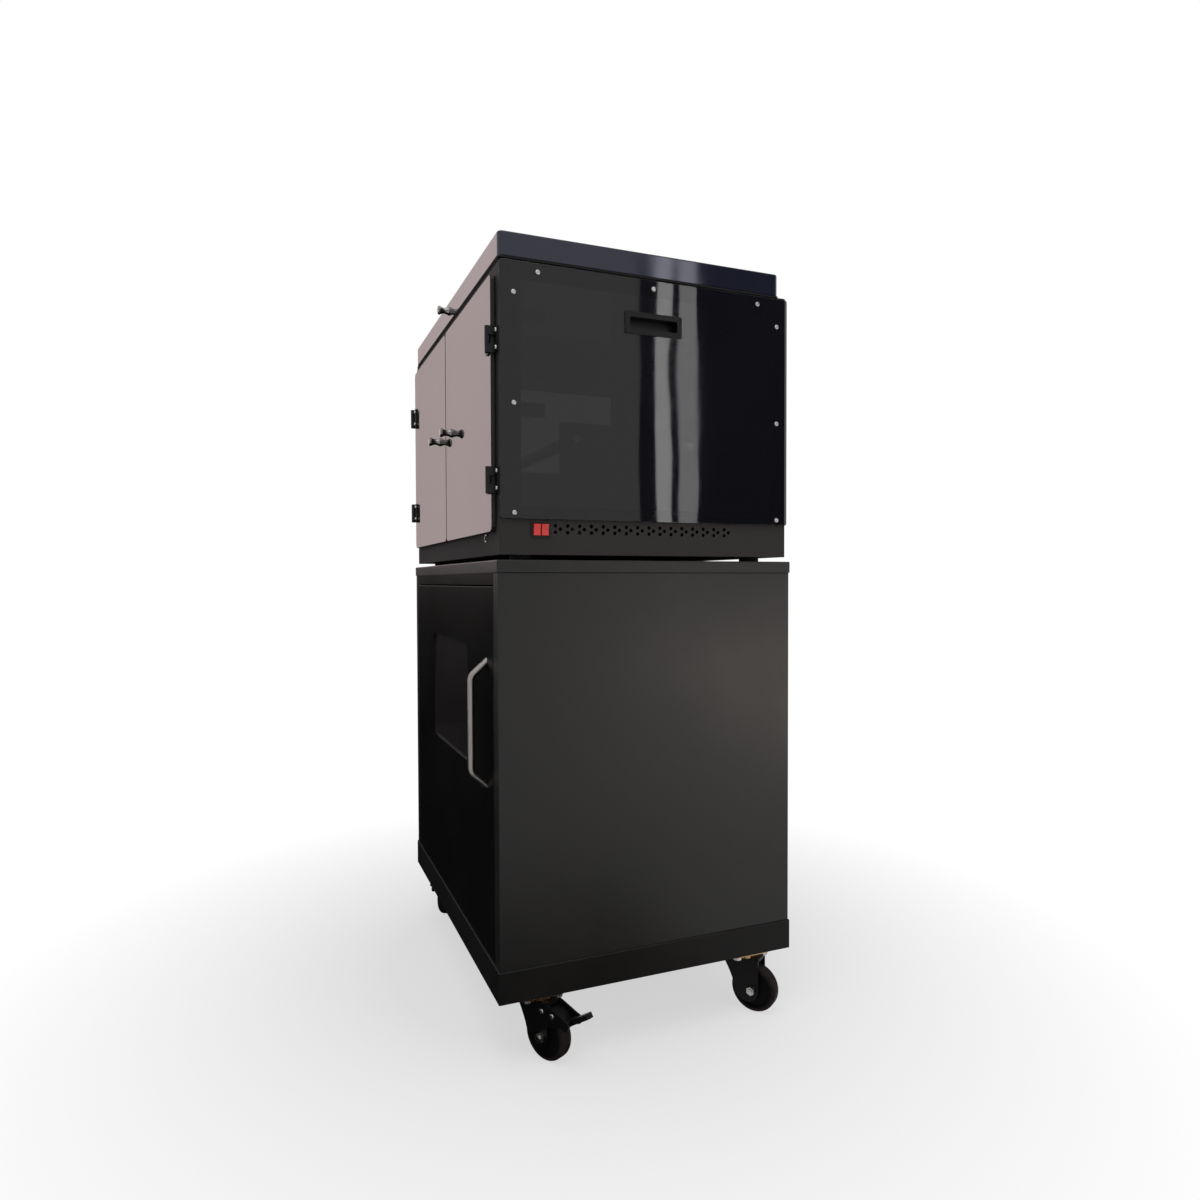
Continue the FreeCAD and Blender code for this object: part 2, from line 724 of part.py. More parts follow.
# Chamber base: a pan with an inward flange, pierced for the vents, switch, button and inlet
base_box = rounded(-frame_half, frame_half, chamber_front, chamber_rear, chamber_bottom, base_top,
                   Z_AXIS, fold)
base_hollow = block(-frame_half + base_sheet, frame_half - base_sheet, chamber_front + base_sheet,
                    chamber_rear - base_sheet, chamber_bottom + base_sheet, base_top - base_sheet)
base_mouth = block(-frame_half + base_flange, frame_half - base_flange, chamber_front + base_flange,
                   chamber_rear - base_flange, base_top - 2 * base_sheet, base_top + base_sheet)
vent_end = chamber_rear - vent_rear_margin
vent_start = chamber_front + vent_from_front
vent_groups = int((vent_end - vent_step - vent_start) / vent_pitch) + 1
vent_z = chamber_bottom + vent_rise
vents = []
for step in range(vent_groups):
    column_y = vent_start + step * vent_pitch
    for hole_y, hole_z in ((column_y, vent_z - vent_pair / 2), (column_y, vent_z + vent_pair / 2),
                           (column_y + vent_step, vent_z)):
        for side in (-1, 1):
            vents.append(rod(vent_hole, Vector(side * (frame_half - 2 * base_sheet), hole_y, hole_z),
                             Vector(side * (frame_half + base_sheet), hole_y, hole_z)))
switch_y = chamber_front + switch_from_front
switch_z = chamber_bottom + switch_rise
switch_half_y = switch_width / 2 - switch_rim
switch_half_z = switch_height / 2 - switch_rim
switch_hole = block(frame_half - 2 * base_sheet, frame_half + base_sheet, switch_y - switch_half_y - slip_fit,
                    switch_y + switch_half_y + slip_fit, switch_z - switch_half_z - slip_fit,
                    switch_z + switch_half_z + slip_fit)
button_x = frame_half - button_from_side
button_z = chamber_bottom + button_rise
button_hole = rod(button_barrel + slip_fit, Vector(button_x, chamber_front - base_sheet, button_z),
                  Vector(button_x, chamber_front + 2 * base_sheet, button_z))
inlet_x = -frame_half + inlet_from_side
inlet_z = chamber_bottom + base_height / 2
inlet_hole = block(inlet_x - inlet_width / 2 - slip_fit, inlet_x + inlet_width / 2 + slip_fit,
                   chamber_rear - 2 * base_sheet, chamber_rear + base_sheet,
                   inlet_z - inlet_height / 2 - slip_fit, inlet_z + inlet_height / 2 + slip_fit)
pieces["chamber_base"] = base_box.cut([base_hollow, base_mouth, switch_hole, button_hole, inlet_hole] + vents)

# Chamber floor plate, lying on the base flange inside the frame
floor_half = frame_half - frame_sheet - floor_margin
floor_front = chamber_front + frame_sheet + floor_margin
floor_rear = chamber_rear - frame_sheet - floor_margin
pieces["chamber_floor"] = block(-floor_half, floor_half, floor_front, floor_rear, base_top, floor_top)

# Side panel screws: three columns of places in the panel's own Y and Z
panel_top = chamber_top - panel_top_gap
panel_half_rise = (panel_top - base_top - screw_column_low - screw_column_high) / 2
panel_screw_spots = []
for column_y in (chamber_front + screw_column_inset, chamber_rear - screw_column_inset):
    for rise in range(3):
        panel_screw_spots.append((column_y, base_top + screw_column_low + rise * panel_half_rise))
for row_y in (chamber_front + screw_row_inset, chamber_middle, chamber_rear - screw_row_inset):
    panel_screw_spots.append((row_y, panel_top - screw_row_drop))

# Front door sizes that the frame, seal and hinges share
doors_half = frame_half - post_face
doors_bottom = chamber_bottom + door_bottom_strip
doors_top = chamber_top - door_top_strip
doors_middle = (doors_bottom + doors_top) / 2
door_back = chamber_front - door_seal - part_gap
door_face = door_back - door_panel
hinge_x = doors_half + hinge_gap
hinge_y = door_face - hinge_knuckle - part_gap
hinges_middle = doors_middle - hinge_drop
hinge_levels = (hinges_middle - hinge_spread / 2, hinges_middle + hinge_spread / 2)
door_leaf_front = door_face - hinge_leaf
frame_leaf_front = chamber_front - hinge_leaf
hinge_screw_levels = [level + step * hinge_screw_pitch / 2 for level in hinge_levels for step in (-1, 1)]
frame_leaf_screw_x = hinge_x + hinge_screw_out

# Chamber frame: a folded shell with its rear closed, open at the front, the sides and the top
frame_box = rounded(-frame_half, frame_half, chamber_front, chamber_rear, base_top, chamber_top,
                    Z_AXIS, fold)
frame_hollow = block(-frame_half + frame_sheet, frame_half - frame_sheet, chamber_front + frame_sheet,
                     chamber_rear - frame_sheet, base_top - frame_sheet, chamber_top - frame_sheet)
top_mouth = block(-frame_half + top_flange, frame_half - top_flange, chamber_front + top_flange,
                  lid_rear - top_flange, chamber_top - 2 * frame_sheet, chamber_top + frame_sheet)
front_mouth_half = doors_half - door_lap
front_mouth = block(-front_mouth_half, front_mouth_half, chamber_front - frame_sheet,
                    chamber_front + 2 * frame_sheet, base_top - frame_sheet, doors_top - door_lap)
side_mouths = block(-frame_half - frame_sheet, frame_half + frame_sheet, chamber_front + post_side,
                    chamber_rear - post_side, base_top + side_sill, chamber_top - side_rail)
rear_slots = []
for slot in range(rear_slot_count):
    slot_x = (slot - (rear_slot_count - 1) / 2) * rear_slot_pitch
    rear_slots.append(block(slot_x - rear_slot_width / 2, slot_x + rear_slot_width / 2,
                            chamber_rear - 2 * frame_sheet, chamber_rear + frame_sheet,
                            chamber_top - rear_slot_drop - rear_slot_height, chamber_top - rear_slot_drop))
screw_holes = []
for side in (-1, 1):
    for hole_y, hole_z in panel_screw_spots:
        screw_holes.append(rod(screw_radius + running_fit,
                               Vector(side * (frame_half - 2 * frame_sheet), hole_y, hole_z),
                               Vector(side * (frame_half + frame_sheet), hole_y, hole_z)))
    for hole_z in hinge_screw_levels:
        screw_holes.append(rod(screw_radius + running_fit,
                               Vector(side * frame_leaf_screw_x, chamber_front - frame_sheet, hole_z),
                               Vector(side * frame_leaf_screw_x, chamber_front + 2 * frame_sheet, hole_z)))
frame_mouths = [top_mouth, front_mouth, side_mouths]
pieces["chamber_frame"] = frame_box.cut([frame_hollow] + frame_mouths + rear_slots + screw_holes)

# Smoked side panels, screwed to the frame's outside, each with a pull cup let into it
grip_middle = panel_top - grip_drop + panel_top_gap
panel_outer = frame_half + panel
right_panel = rounded(frame_half, panel_outer, chamber_front, chamber_rear, base_top, panel_top,
                      X_AXIS, panel_corner)
panel_rim = [edge for edge in right_panel.Edges if abs(edge.BoundBox.XMin - panel_outer) < 1e-6]
right_panel = right_panel.makeFillet(panel_edge, panel_rim)
panel_holes = [rod(screw_radius + slip_fit, Vector(frame_half - panel, hole_y, hole_z),
                   Vector(panel_outer + panel, hole_y, hole_z)) for hole_y, hole_z in panel_screw_spots]


def grip_block(x0, x1, margin):
    return rounded(x0, x1, chamber_middle - grip_width / 2 - margin, chamber_middle + grip_width / 2 + margin,
                   grip_middle - grip_height / 2 - margin, grip_middle + grip_height / 2 + margin,
                   X_AXIS, grip_corner)


grip_cut = grip_block(frame_half - panel, panel_outer + panel, grip_cut_gap)
right_panel = right_panel.cut([grip_cut] + panel_holes)
pieces["right_side_panel"] = right_panel
pieces["left_side_panel"] = mirrored(right_panel)
grip_cup = fuse([grip_block(panel_outer - grip_depth, panel_outer, 0),
                 grip_block(panel_outer, panel_outer + grip_lip_thickness, grip_lip)])
grip_cup = grip_cup.cut(grip_block(panel_outer - grip_depth + grip_wall, panel_outer + panel, -grip_wall))
pieces["side_grips"] = group([grip_cup, mirrored(grip_cup)])


# Button-head screws of the panels and of the frame's hinge leaves
def button_screw(grip):
    head = Part.makeCylinder(screw_head, screw_head_height)
    crown = [edge for edge in head.Edges if abs(edge.BoundBox.ZMin - screw_head_height) < 1e-6]
    head = head.makeFillet(screw_head_round, crown)
    socket = hexagon(screw_socket, Vector(0, 0, screw_head_height), Z_AXIS * -screw_socket_depth)
    shank = rod(screw_radius, Vector(0, 0, 0), Vector(0, 0, -grip))
    return fuse([head, shank]).cut(socket)


panel_screw = button_screw(panel + frame_sheet + screw_grip)
leaf_screw = button_screw(hinge_leaf + frame_sheet + screw_grip)
screws = []
for side in (-1, 1):
    for hole_y, hole_z in panel_screw_spots:
        screws.append(placed(panel_screw, Vector(side * panel_outer, hole_y, hole_z), X_AXIS * side))
    for hole_z in hinge_screw_levels:
        screws.append(placed(leaf_screw, Vector(side * frame_leaf_screw_x, frame_leaf_front, hole_z),
                             Y_AXIS * -1))
pieces["screws_and_bolts"] = group(screws + castor_bolts)

# Chamber seals: flat rubber rings on the frame, round the doorway and under the lid's rim
seal_half = doors_half - door_seal_inset
seal_outer = block(-seal_half, seal_half, chamber_front - door_seal, chamber_front,
                   doors_bottom + door_seal_inset, doors_top - door_seal_inset)
seal_inner = block(-seal_half + door_seal_width, seal_half - door_seal_width, chamber_front - 2 * door_seal,
                   chamber_front + door_seal, doors_bottom + door_seal_inset + door_seal_width,
                   doors_top - door_seal_inset - door_seal_width)
rim_half = frame_half - lid_seal_inset
rim_front = chamber_front + lid_seal_inset
rim_rear = lid_rear - lid_seal_inset
rim_outer = block(-rim_half, rim_half, rim_front, rim_rear, chamber_top, chamber_top + lid_seal)
rim_inner = block(-rim_half + lid_seal_width, rim_half - lid_seal_width, rim_front + lid_seal_width,
                  rim_rear - lid_seal_width, chamber_top - lid_seal, chamber_top + 2 * lid_seal)
pieces["chamber_seals"] = group([seal_outer.cut(seal_inner), rim_outer.cut(rim_inner)])


# Door hinges, drawn for the right door: a cranked leaf on the frame, a flat one on the door, one pin
def knuckle_spans(level, length):
    third = length / 3
    low = level - length / 2
    return ((low, low + third - part_gap / 2), (low + third + part_gap / 2, low + 2 * third - part_gap / 2),
            (low + 2 * third + part_gap / 2, low + length))


def upright(radius, z0, z1):
    return rod(radius, Vector(hinge_x, hinge_y, z0), Vector(hinge_x, hinge_y, z1))


def frame_leaf(level):
    low, middle, high = knuckle_spans(level, hinge_height)
    parts = [rounded(hinge_x + hinge_gap, frame_half - fold, frame_leaf_front, chamber_front, low[0], high[1],
                     Y_AXIS, hinge_leaf_corner)]
    for z0, z1 in (low, high):
        parts.append(upright(hinge_knuckle, z0, z1))
        parts.append(block(hinge_x + hinge_gap, hinge_x + hinge_knuckle, hinge_y, frame_leaf_front, z0, z1))
    leaf = fuse(parts)
    bore = upright(hinge_pin + pin_fit, low[0] - part_gap, high[1] + part_gap)
    holes = []
    for hole_z in (level - hinge_screw_pitch / 2, level + hinge_screw_pitch / 2):
        holes.append(rod(screw_radius + slip_fit,
                         Vector(frame_leaf_screw_x, frame_leaf_front - hinge_leaf, hole_z),
                         Vector(frame_leaf_screw_x, chamber_front + hinge_leaf, hole_z)))
    return leaf.cut([bore] + holes)


def door_leaf(level):
    low, middle, high = knuckle_spans(level, hinge_height)
    plate = rounded(hinge_x - hinge_leaf_width, hinge_x - hinge_gap, door_leaf_front, door_face,
                    low[0], high[1], Y_AXIS, hinge_leaf_corner)
    knuckle = upright(hinge_knuckle, *middle)
    web = block(hinge_x - hinge_knuckle, hinge_x, hinge_y, door_face, *middle)
    pockets = [upright(hinge_knuckle + part_gap, z0 - part_gap, z1 + part_gap) for z0, z1 in (low, high)]
    bore = upright(hinge_pin + running_fit, middle[0] - part_gap, middle[1] + part_gap)
    return fuse([plate.cut(pockets), knuckle, web]).cut(bore)


def hinge_pin_shape(level):
    return upright(hinge_pin, level - hinge_height / 2, level + hinge_height / 2)


right_frame_leaves = [frame_leaf(level) for level in hinge_levels]
right_pins = [hinge_pin_shape(level) for level in hinge_levels]
right_door_leaves = group([door_leaf(level) for level in hinge_levels])
pieces["right_door_hinge_leaves"] = right_door_leaves
pieces["left_door_hinge_leaves"] = mirrored(right_door_leaves)


# Pull knobs: a turned spool shape held by a screw from behind the panel
def knob(panel_depth):
    def at(radius, height):
        return Vector(radius, 0, height)

    waist_z = knob_length / 2
    end_z = knob_length - knob_rim
    bevel_z = knob_length - knob_rim / 2
    bevel_radius = knob_end - knob_rim / 2
    outline = [Part.LineSegment(at(0, 0), at(knob_base, 0)).toShape(),
               Part.LineSegment(at(knob_base, 0), at(knob_base, knob_rim / 2)).toShape(),
               Part.Arc(at(knob_base, knob_rim / 2), at(knob_waist, waist_z), at(knob_end, end_z)).toShape(),
               Part.LineSegment(at(knob_end, end_z), at(knob_end, bevel_z)).toShape(),
               Part.LineSegment(at(knob_end, bevel_z), at(bevel_radius, knob_length)).toShape(),
               Part.LineSegment(at(bevel_radius, knob_length), at(0, knob_length)).toShape(),
               Part.LineSegment(at(0, knob_length), at(0, 0)).toShape()]
    body = Part.Face(Part.Wire(outline)).revolve(Vector(0, 0, 0), Z_AXIS, 360)
    body = body.cut(rod(knob_screw + running_fit, Vector(0, 0, -part_gap), Vector(0, 0, knob_screw_depth)))
    shank = rod(knob_screw, Vector(0, 0, -panel_depth), Vector(0, 0, knob_screw_depth - part_gap))
    head = rod(knob_screw_head, Vector(0, 0, -panel_depth - knob_screw_head_height),
               Vector(0, 0, -panel_depth))
    return group([body, fuse([shank, head])])


# Front doors, drawn for the right one
right_door_edge = doors_seam / 2
knob_x = right_door_edge + knob_from_seam
right_door = rounded(right_door_edge, doors_half, door_face, door_back, doors_bottom, doors_top,
                     Y_AXIS, door_corner)
right_door_rim = [edge for edge in right_door.Edges if abs(edge.BoundBox.YMax - door_face) < 1e-6]
right_door = right_door.makeFillet(panel_edge, right_door_rim)
knob_hole = rod(knob_screw + slip_fit, Vector(knob_x, door_face - door_panel, doors_middle),
                Vector(knob_x, door_back + door_panel, doors_middle))
right_door = right_door.cut(knob_hole)
pieces["right_door"] = right_door
pieces["left_door"] = mirrored(right_door)
right_knob = placed(knob(door_panel), Vector(knob_x, door_face, doors_middle), Y_AXIS * -1)
pieces["right_door_knob"] = right_knob
pieces["left_door_knob"] = mirrored(right_knob)

# Lid: a moulded cover open underneath, hinged in front of the step at the rear
lid_box = rounded(-frame_half, frame_half, chamber_front, lid_rear, lid_bottom, lid_top, Z_AXIS, lid_corner)
lid_rim = [edge for edge in lid_box.Edges if abs(edge.BoundBox.ZMin - lid_top) < 1e-6]
lid_box = lid_box.makeFillet(lid_edge, lid_rim)
lid_hollow = rounded(-frame_half + lid_wall, frame_half - lid_wall, chamber_front + lid_wall,
                     lid_rear - lid_wall, lid_bottom - lid_wall, lid_top - lid_wall,
                     Z_AXIS, lid_corner - lid_wall)
lid_knob_z = lid_bottom + (lid_top - lid_bottom) / 2
lid_knob_hole = rod(knob_screw + slip_fit, Vector(0, chamber_front - lid_wall, lid_knob_z),
                    Vector(0, chamber_front + 2 * lid_wall, lid_knob_z))
pieces["lid_cover"] = lid_box.cut([lid_hollow, lid_knob_hole])
pieces["lid_knob"] = placed(knob(lid_wall), Vector(0, chamber_front, lid_knob_z), Y_AXIS * -1)
lid_axis_y = lid_rear + hinge_knuckle + lid_leaf / 2
lid_axis_z = chamber_top + hinge_knuckle + lid_leaf / 2
lid_hinge_places = (-lid_hinge_spread / 2, lid_hinge_spread / 2)


def level_bar(radius, x0, x1):
    return rod(radius, Vector(x0, lid_axis_y, lid_axis_z), Vector(x1, lid_axis_y, lid_axis_z))


def lid_frame_leaf(middle_x):
    low, middle, high = knuckle_spans(middle_x, lid_hinge_length)
    parts = [block(low[0], high[1], lid_rear + part_gap, chamber_rear - part_gap,
                   chamber_top, chamber_top + lid_leaf)]
    for x0, x1 in (low, high):
        parts.append(level_bar(hinge_knuckle, x0, x1))
        parts.append(block(x0, x1, lid_axis_y, lid_axis_y + hinge_knuckle, chamber_top, lid_axis_z))
    pocket = level_bar(hinge_knuckle + part_gap, middle[0] - part_gap, middle[1] + part_gap)
    bore = level_bar(hinge_pin + pin_fit, low[0] - part_gap, high[1] + part_gap)
    return fuse(parts).cut([pocket, bore])


def lid_leaf_shape(middle_x):
    low, middle, high = knuckle_spans(middle_x, lid_hinge_length)
    plate = block(low[0], high[1], lid_rear, lid_rear + lid_leaf,
                  lid_bottom + lid_leaf, lid_bottom + lid_leaf_height)
    pockets = [level_bar(hinge_knuckle + part_gap, x0 - part_gap, x1 + part_gap) for x0, x1 in (low, high)]
    web = block(middle[0], middle[1], lid_rear, lid_axis_y, lid_axis_z, lid_axis_z + hinge_knuckle)
    bore = level_bar(hinge_pin + running_fit, middle[0] - part_gap, middle[1] + part_gap)
    return fuse([plate.cut(pockets), level_bar(hinge_knuckle, *middle), web]).cut(bore)


lid_pins = [level_bar(hinge_pin, place - lid_hinge_length / 2, place + lid_hinge_length / 2)
            for place in lid_hinge_places]
pieces["lid_hinge_leaves"] = group([lid_leaf_shape(place) for place in lid_hinge_places])
pieces["frame_hinge_leaves"] = group(right_frame_leaves + [mirrored(leaf) for leaf in right_frame_leaves]
                                     + [lid_frame_leaf(place) for place in lid_hinge_places])
pieces["hinge_pins"] = group(right_pins + [mirrored(pin) for pin in right_pins] + lid_pins)

# Rocker switch: a housing with two bays, and a paddle on trunnions in each
bay_half_z = switch_half_z - switch_wall
bay_width = (2 * switch_half_y - 3 * switch_wall) / 2
bezel = rounded(frame_half, frame_half + switch_bezel, switch_y - switch_width / 2,
                switch_y + switch_width / 2, switch_z - switch_height / 2, switch_z + switch_height / 2,
                X_AXIS, switch_rim)
housing = fuse([bezel, block(frame_half - switch_depth, frame_half, switch_y - switch_half_y,
                             switch_y + switch_half_y, switch_z - switch_half_z, switch_z + switch_half_z)])
bay_middles = (switch_y - switch_wall / 2 - bay_width / 2, switch_y + switch_wall / 2 + bay_width / 2)
bays = [block(frame_half - switch_depth + switch_wall, frame_half + 2 * switch_bezel, middle - bay_width / 2,
              middle + bay_width / 2, switch_z - bay_half_z, switch_z + bay_half_z) for middle in bay_middles]
trunnion_end = switch_half_y - trunnion_skin
trunnion_hole = rod(rocker_trunnion + running_fit, Vector(frame_half, switch_y - trunnion_end, switch_z),
                    Vector(frame_half, switch_y + trunnion_end, switch_z))
pieces["switch_housing"] = housing.cut(bays + [trunnion_hole])


def rocker(middle):
    half_z = bay_half_z - 2 * rocker_gap
    half_y = bay_width / 2 - rocker_gap
    face = switch_bezel + rocker_proud
    outline = [(frame_half + face, middle - half_y, switch_z - half_z),
               (frame_half + face - rocker_toe / 2, middle - half_y, switch_z),
               (frame_half + face, middle - half_y, switch_z + half_z),
               (frame_half + face - rocker_toe, middle - half_y, switch_z + half_z),
               (frame_half - rocker_back, middle - half_y, switch_z + rocker_toe),
               (frame_half - rocker_back, middle - half_y, switch_z - rocker_toe),
               (frame_half + face - rocker_toe, middle - half_y, switch_z - half_z)]
    reach = bay_width / 2 + rocker_trunnion_length - switch_wall / 2
    trunnion = rod(rocker_trunnion, Vector(frame_half, middle - reach, switch_z),
                   Vector(frame_half, middle + reach, switch_z))
    paddle = fuse([prism(outline, Y_AXIS * (2 * half_y)), trunnion])
    paddle.rotate(Vector(frame_half, middle, switch_z), Y_AXIS, rocker_tilt)
    return paddle


pieces["front_rocker"] = rocker(bay_middles[0])
pieces["rear_rocker"] = rocker(bay_middles[1])

# Push button: a plated bezel through the front of the base, and the cap that slides in it
bezel_front = chamber_front - button_flange_thickness


def button_rod(radius, y0, y1):
    return rod(radius, Vector(button_x, y0, button_z), Vector(button_x, y1, button_z))


button_back = bezel_front - button_proud + button_length
bezel_body = fuse([button_rod(button_flange, bezel_front, chamber_front),
                   button_rod(button_barrel, chamber_front, chamber_front + button_barrel_length)])
button_bore = button_rod(button_radius + running_fit, bezel_front - button_flange_thickness,
                         button_back + button_travel + part_gap)
pieces["button_bezel"] = bezel_body.cut(button_bore)
pieces["push_button"] = button_rod(button_radius, bezel_front - button_proud, button_back)


# Power inlet: a flanged socket with three blades, in the rear wall of the base
def inlet_block(width, height, y0, y1):
    return block(inlet_x - width / 2, inlet_x + width / 2, y0, y1, inlet_z - height / 2, inlet_z + height / 2)


socket_floor = chamber_rear - inlet_depth + inlet_floor
lip_rear = chamber_rear + inlet_lip_thickness
inlet_body = fuse([inlet_block(inlet_width, inlet_height, chamber_rear - inlet_depth, chamber_rear),
                   inlet_block(inlet_width + 2 * inlet_lip, inlet_height + 2 * inlet_wall,
                               chamber_rear, lip_rear)])
socket_hole = inlet_block(inlet_width - 2 * inlet_wall, inlet_height - 2 * inlet_wall, socket_floor,
                          lip_rear + inlet_lip_thickness)
blade = inlet_block(inlet_blade_thickness, inlet_blade_width, socket_floor - inlet_wall,
                    socket_floor + inlet_blade_length)
blades = [blade.translated(X_AXIS * (step * inlet_blade_pitch)) for step in (-1, 0, 1)]
pieces["power_inlet"] = fuse([inlet_body.cut(socket_hole)] + blades)

# Spool stands on the chamber floor, and the two rods that turn in them
rod_z = floor_top + rod_rise
rods_middle = chamber_middle - rods_forward
rod_places = (rods_middle - rod_spacing / 2, rods_middle + rod_spacing / 2)
stand_front = rod_places[0] - stand_end
stand_rear = rod_places[1] + stand_end
stand_plate = block(stand_from_middle, stand_from_middle + stand_sheet, stand_front, stand_rear,
                    floor_top, rod_z + stand_end)
stand_foot_plate = block(stand_from_middle - stand_foot, stand_from_middle, stand_front, stand_rear,
                         floor_top, floor_top + stand_sheet)
journal_holes = [rod(journal_radius + running_fit, Vector(stand_from_middle - stand_sheet, place, rod_z),
                     Vector(stand_from_middle + 2 * stand_sheet, place, rod_z)) for place in rod_places]
right_stand = fuse([stand_plate, stand_foot_plate]).cut(journal_holes)
pieces["spool_stands"] = group([right_stand, mirrored(right_stand)])


def spool_rod(place):
    shoulder = stand_from_middle - rod_shoulder_gap
    tip = stand_from_middle + stand_sheet + rod_overhang
    return fuse([rod(rod_radius, Vector(-shoulder, place, rod_z), Vector(shoulder, place, rod_z)),
                 rod(journal_radius, Vector(-tip, place, rod_z), Vector(tip, place, rod_z))])


pieces["front_spool_rod"] = spool_rod(rod_places[0])
pieces["rear_spool_rod"] = spool_rod(rod_places[1])

# Circulation fan on the rear wall, with the heater block in front of it
fan_z = floor_top + fan_rise
fan_half = fan_size / 2
fan_bore = fan_half - fan_wall
wall_face = chamber_rear - frame_sheet
fan_rear = wall_face - fan_leg
fan_front = fan_rear - fan_depth


def fan_rod(radius, y0, y1):
    return rod(radius, Vector(0, y0, fan_z), Vector(0, y1, fan_z))


fan_ring = block(-fan_half, fan_half, fan_front, fan_rear, fan_z - fan_half, fan_z + fan_half).cut(
    fan_rod(fan_bore, fan_front - fan_wall, fan_rear + fan_wall))
fan_arms = [block(-fan_half + fan_wall / 2, fan_half - fan_wall / 2, fan_rear - fan_boss_depth, fan_rear,
                  fan_z - fan_arm / 2, fan_z + fan_arm / 2),
            block(-fan_arm / 2, fan_arm / 2, fan_rear - fan_boss_depth, fan_rear,
                  fan_z - fan_half + fan_wall / 2, fan_z + fan_half - fan_wall / 2)]
fan_legs = []
for side_x in (-1, 1):
    for side_z in (-1, 1):
        corner_x = side_x * (fan_half - fan_leg_size / 2)
        corner_z = fan_z + side_z * (fan_half - fan_leg_size / 2)
        fan_legs.append(block(corner_x - fan_leg_size / 2, corner_x + fan_leg_size / 2, fan_rear, wall_face,
                              corner_z - fan_leg_size / 2, corner_z + fan_leg_size / 2))
fan_boss_disc = fan_rod(fan_boss, fan_rear - fan_boss_depth, fan_rear)
pieces["fan_frame"] = fuse([fan_ring, fan_boss_disc] + fan_arms + fan_legs).cut(
    fan_rod(fan_shaft + running_fit, fan_front, wall_face))

hub_rear = fan_rear - fan_boss_depth - part_gap
hub_front = hub_rear - fan_hub_length
blade_tip = fan_bore - fan_tip_gap
rotor_parts = [fan_rod(fan_hub, hub_front, hub_rear), fan_rod(fan_shaft, hub_front, fan_rear)]
blade_plate = block(-fan_blade_chord / 2, fan_blade_chord / 2, -fan_blade_thickness / 2,
                    fan_blade_thickness / 2, fan_hub - fan_wall, blade_tip)
blade_plate.rotate(Vector(0, 0, 0), Z_AXIS, fan_blade_angle)
for blade in range(fan_blades):
    copy = blade_plate.copy()
    copy.rotate(Vector(0, 0, 0), Y_AXIS, blade * 360 / fan_blades)
    copy.translate(Vector(0, (hub_front + hub_rear) / 2, fan_z))
    rotor_parts.append(copy)
pieces["fan_rotor"] = fuse(rotor_parts)

heater_front = fan_front - heater_depth
heater_mouth = fan_half - heater_rim
heater_box = block(-fan_half, fan_half, heater_front, fan_front, fan_z - fan_half, fan_z + fan_half)
heater_hole = block(-heater_mouth, heater_mouth, heater_front - heater_rim, fan_front + heater_rim,
                    fan_z - heater_mouth, fan_z + heater_mouth)
heater_parts = [heater_box.cut(heater_hole)]
for bar in (-1, 1):
    bar_z = fan_z + bar * heater_mouth / 2
    heater_parts.append(block(-fan_half, fan_half, heater_front + heater_rim, fan_front - heater_rim,
                              bar_z - heater_bar / 2, bar_z + heater_bar / 2))
for fin in range(heater_fins):
    fin_x = (fin + 1 - (heater_fins + 1) / 2) * 2 * heater_mouth / (heater_fins + 1)
    heater_parts.append(block(fin_x - heater_fin / 2, fin_x + heater_fin / 2, heater_front, fan_front,
                              fan_z - fan_half, fan_z + fan_half))
pieces["heater_element"] = fuse(heater_parts)

# Humidity sensor: a slotted case on the rear wall
sensor_z = floor_top + sensor_rise
sensor_front = wall_face - sensor_depth
sensor_case = block(sensor_from_middle - sensor_width / 2, sensor_from_middle + sensor_width / 2,
                    sensor_front, wall_face, sensor_z - sensor_height / 2, sensor_z + sensor_height / 2)
sensor_slots = []
for step in (-1, 0, 1):
    slot_z = sensor_z + step * sensor_slot_pitch
    sensor_slots.append(block(sensor_from_middle - sensor_slot_width / 2,
                              sensor_from_middle + sensor_slot_width / 2,
                              sensor_front - sensor_slot_depth, sensor_front + sensor_slot_depth,
                              slot_z - sensor_slot / 2, slot_z + sensor_slot / 2))
pieces["humidity_sensor"] = sensor_case.cut(sensor_slots)

# Power supply and control board in the base, under the chamber floor
bay_floor = chamber_bottom + base_sheet
supply_x = -frame_half + supply_from_side
supply_box = block(supply_x - supply_width / 2, supply_x + supply_width / 2,
                   chamber_middle - supply_length / 2, chamber_middle + supply_length / 2,
                   bay_floor, bay_floor + supply_height)
terminal_step = block(supply_x - supply_width, supply_x + supply_width,
                      chamber_middle + supply_length / 2 - supply_terminal, chamber_middle + supply_length,
                      bay_floor + supply_height / 2, bay_floor + 2 * supply_height)
pieces["power_supply"] = supply_box.cut(terminal_step)

board_x0 = board_from_middle
board_x1 = board_from_middle + board_width
board_y0 = chamber_middle - board_depth / 2
board_y1 = chamber_middle + board_depth / 2
board_z = bay_floor + board_rise
board_parts = [block(board_x0, board_x1, board_y0, board_y1, board_z, board_z + board_sheet)]
for post_x in (board_x0 + board_inset, board_x1 - board_inset):
    for post_y in (board_y0 + board_inset, board_y1 - board_inset):
        board_parts.append(rod(board_post, Vector(post_x, post_y, bay_floor),
                               Vector(post_x, post_y, board_z)))
can_y = board_y0 + can_from_edge
for step in (-1, 0, 1):
    chip_x = (board_x0 + board_x1) / 2 + step * chip_pitch
    board_parts.append(block(chip_x - chip_size / 2, chip_x + chip_size / 2, chamber_middle - chip_size / 2,
                             chamber_middle + chip_size / 2, board_z, board_z + chip_height))
    board_parts.append(rod(can_radius, Vector(chip_x, can_y, board_z),
                           Vector(chip_x, can_y, board_z + can_height)))
pieces["control_board"] = fuse(board_parts)

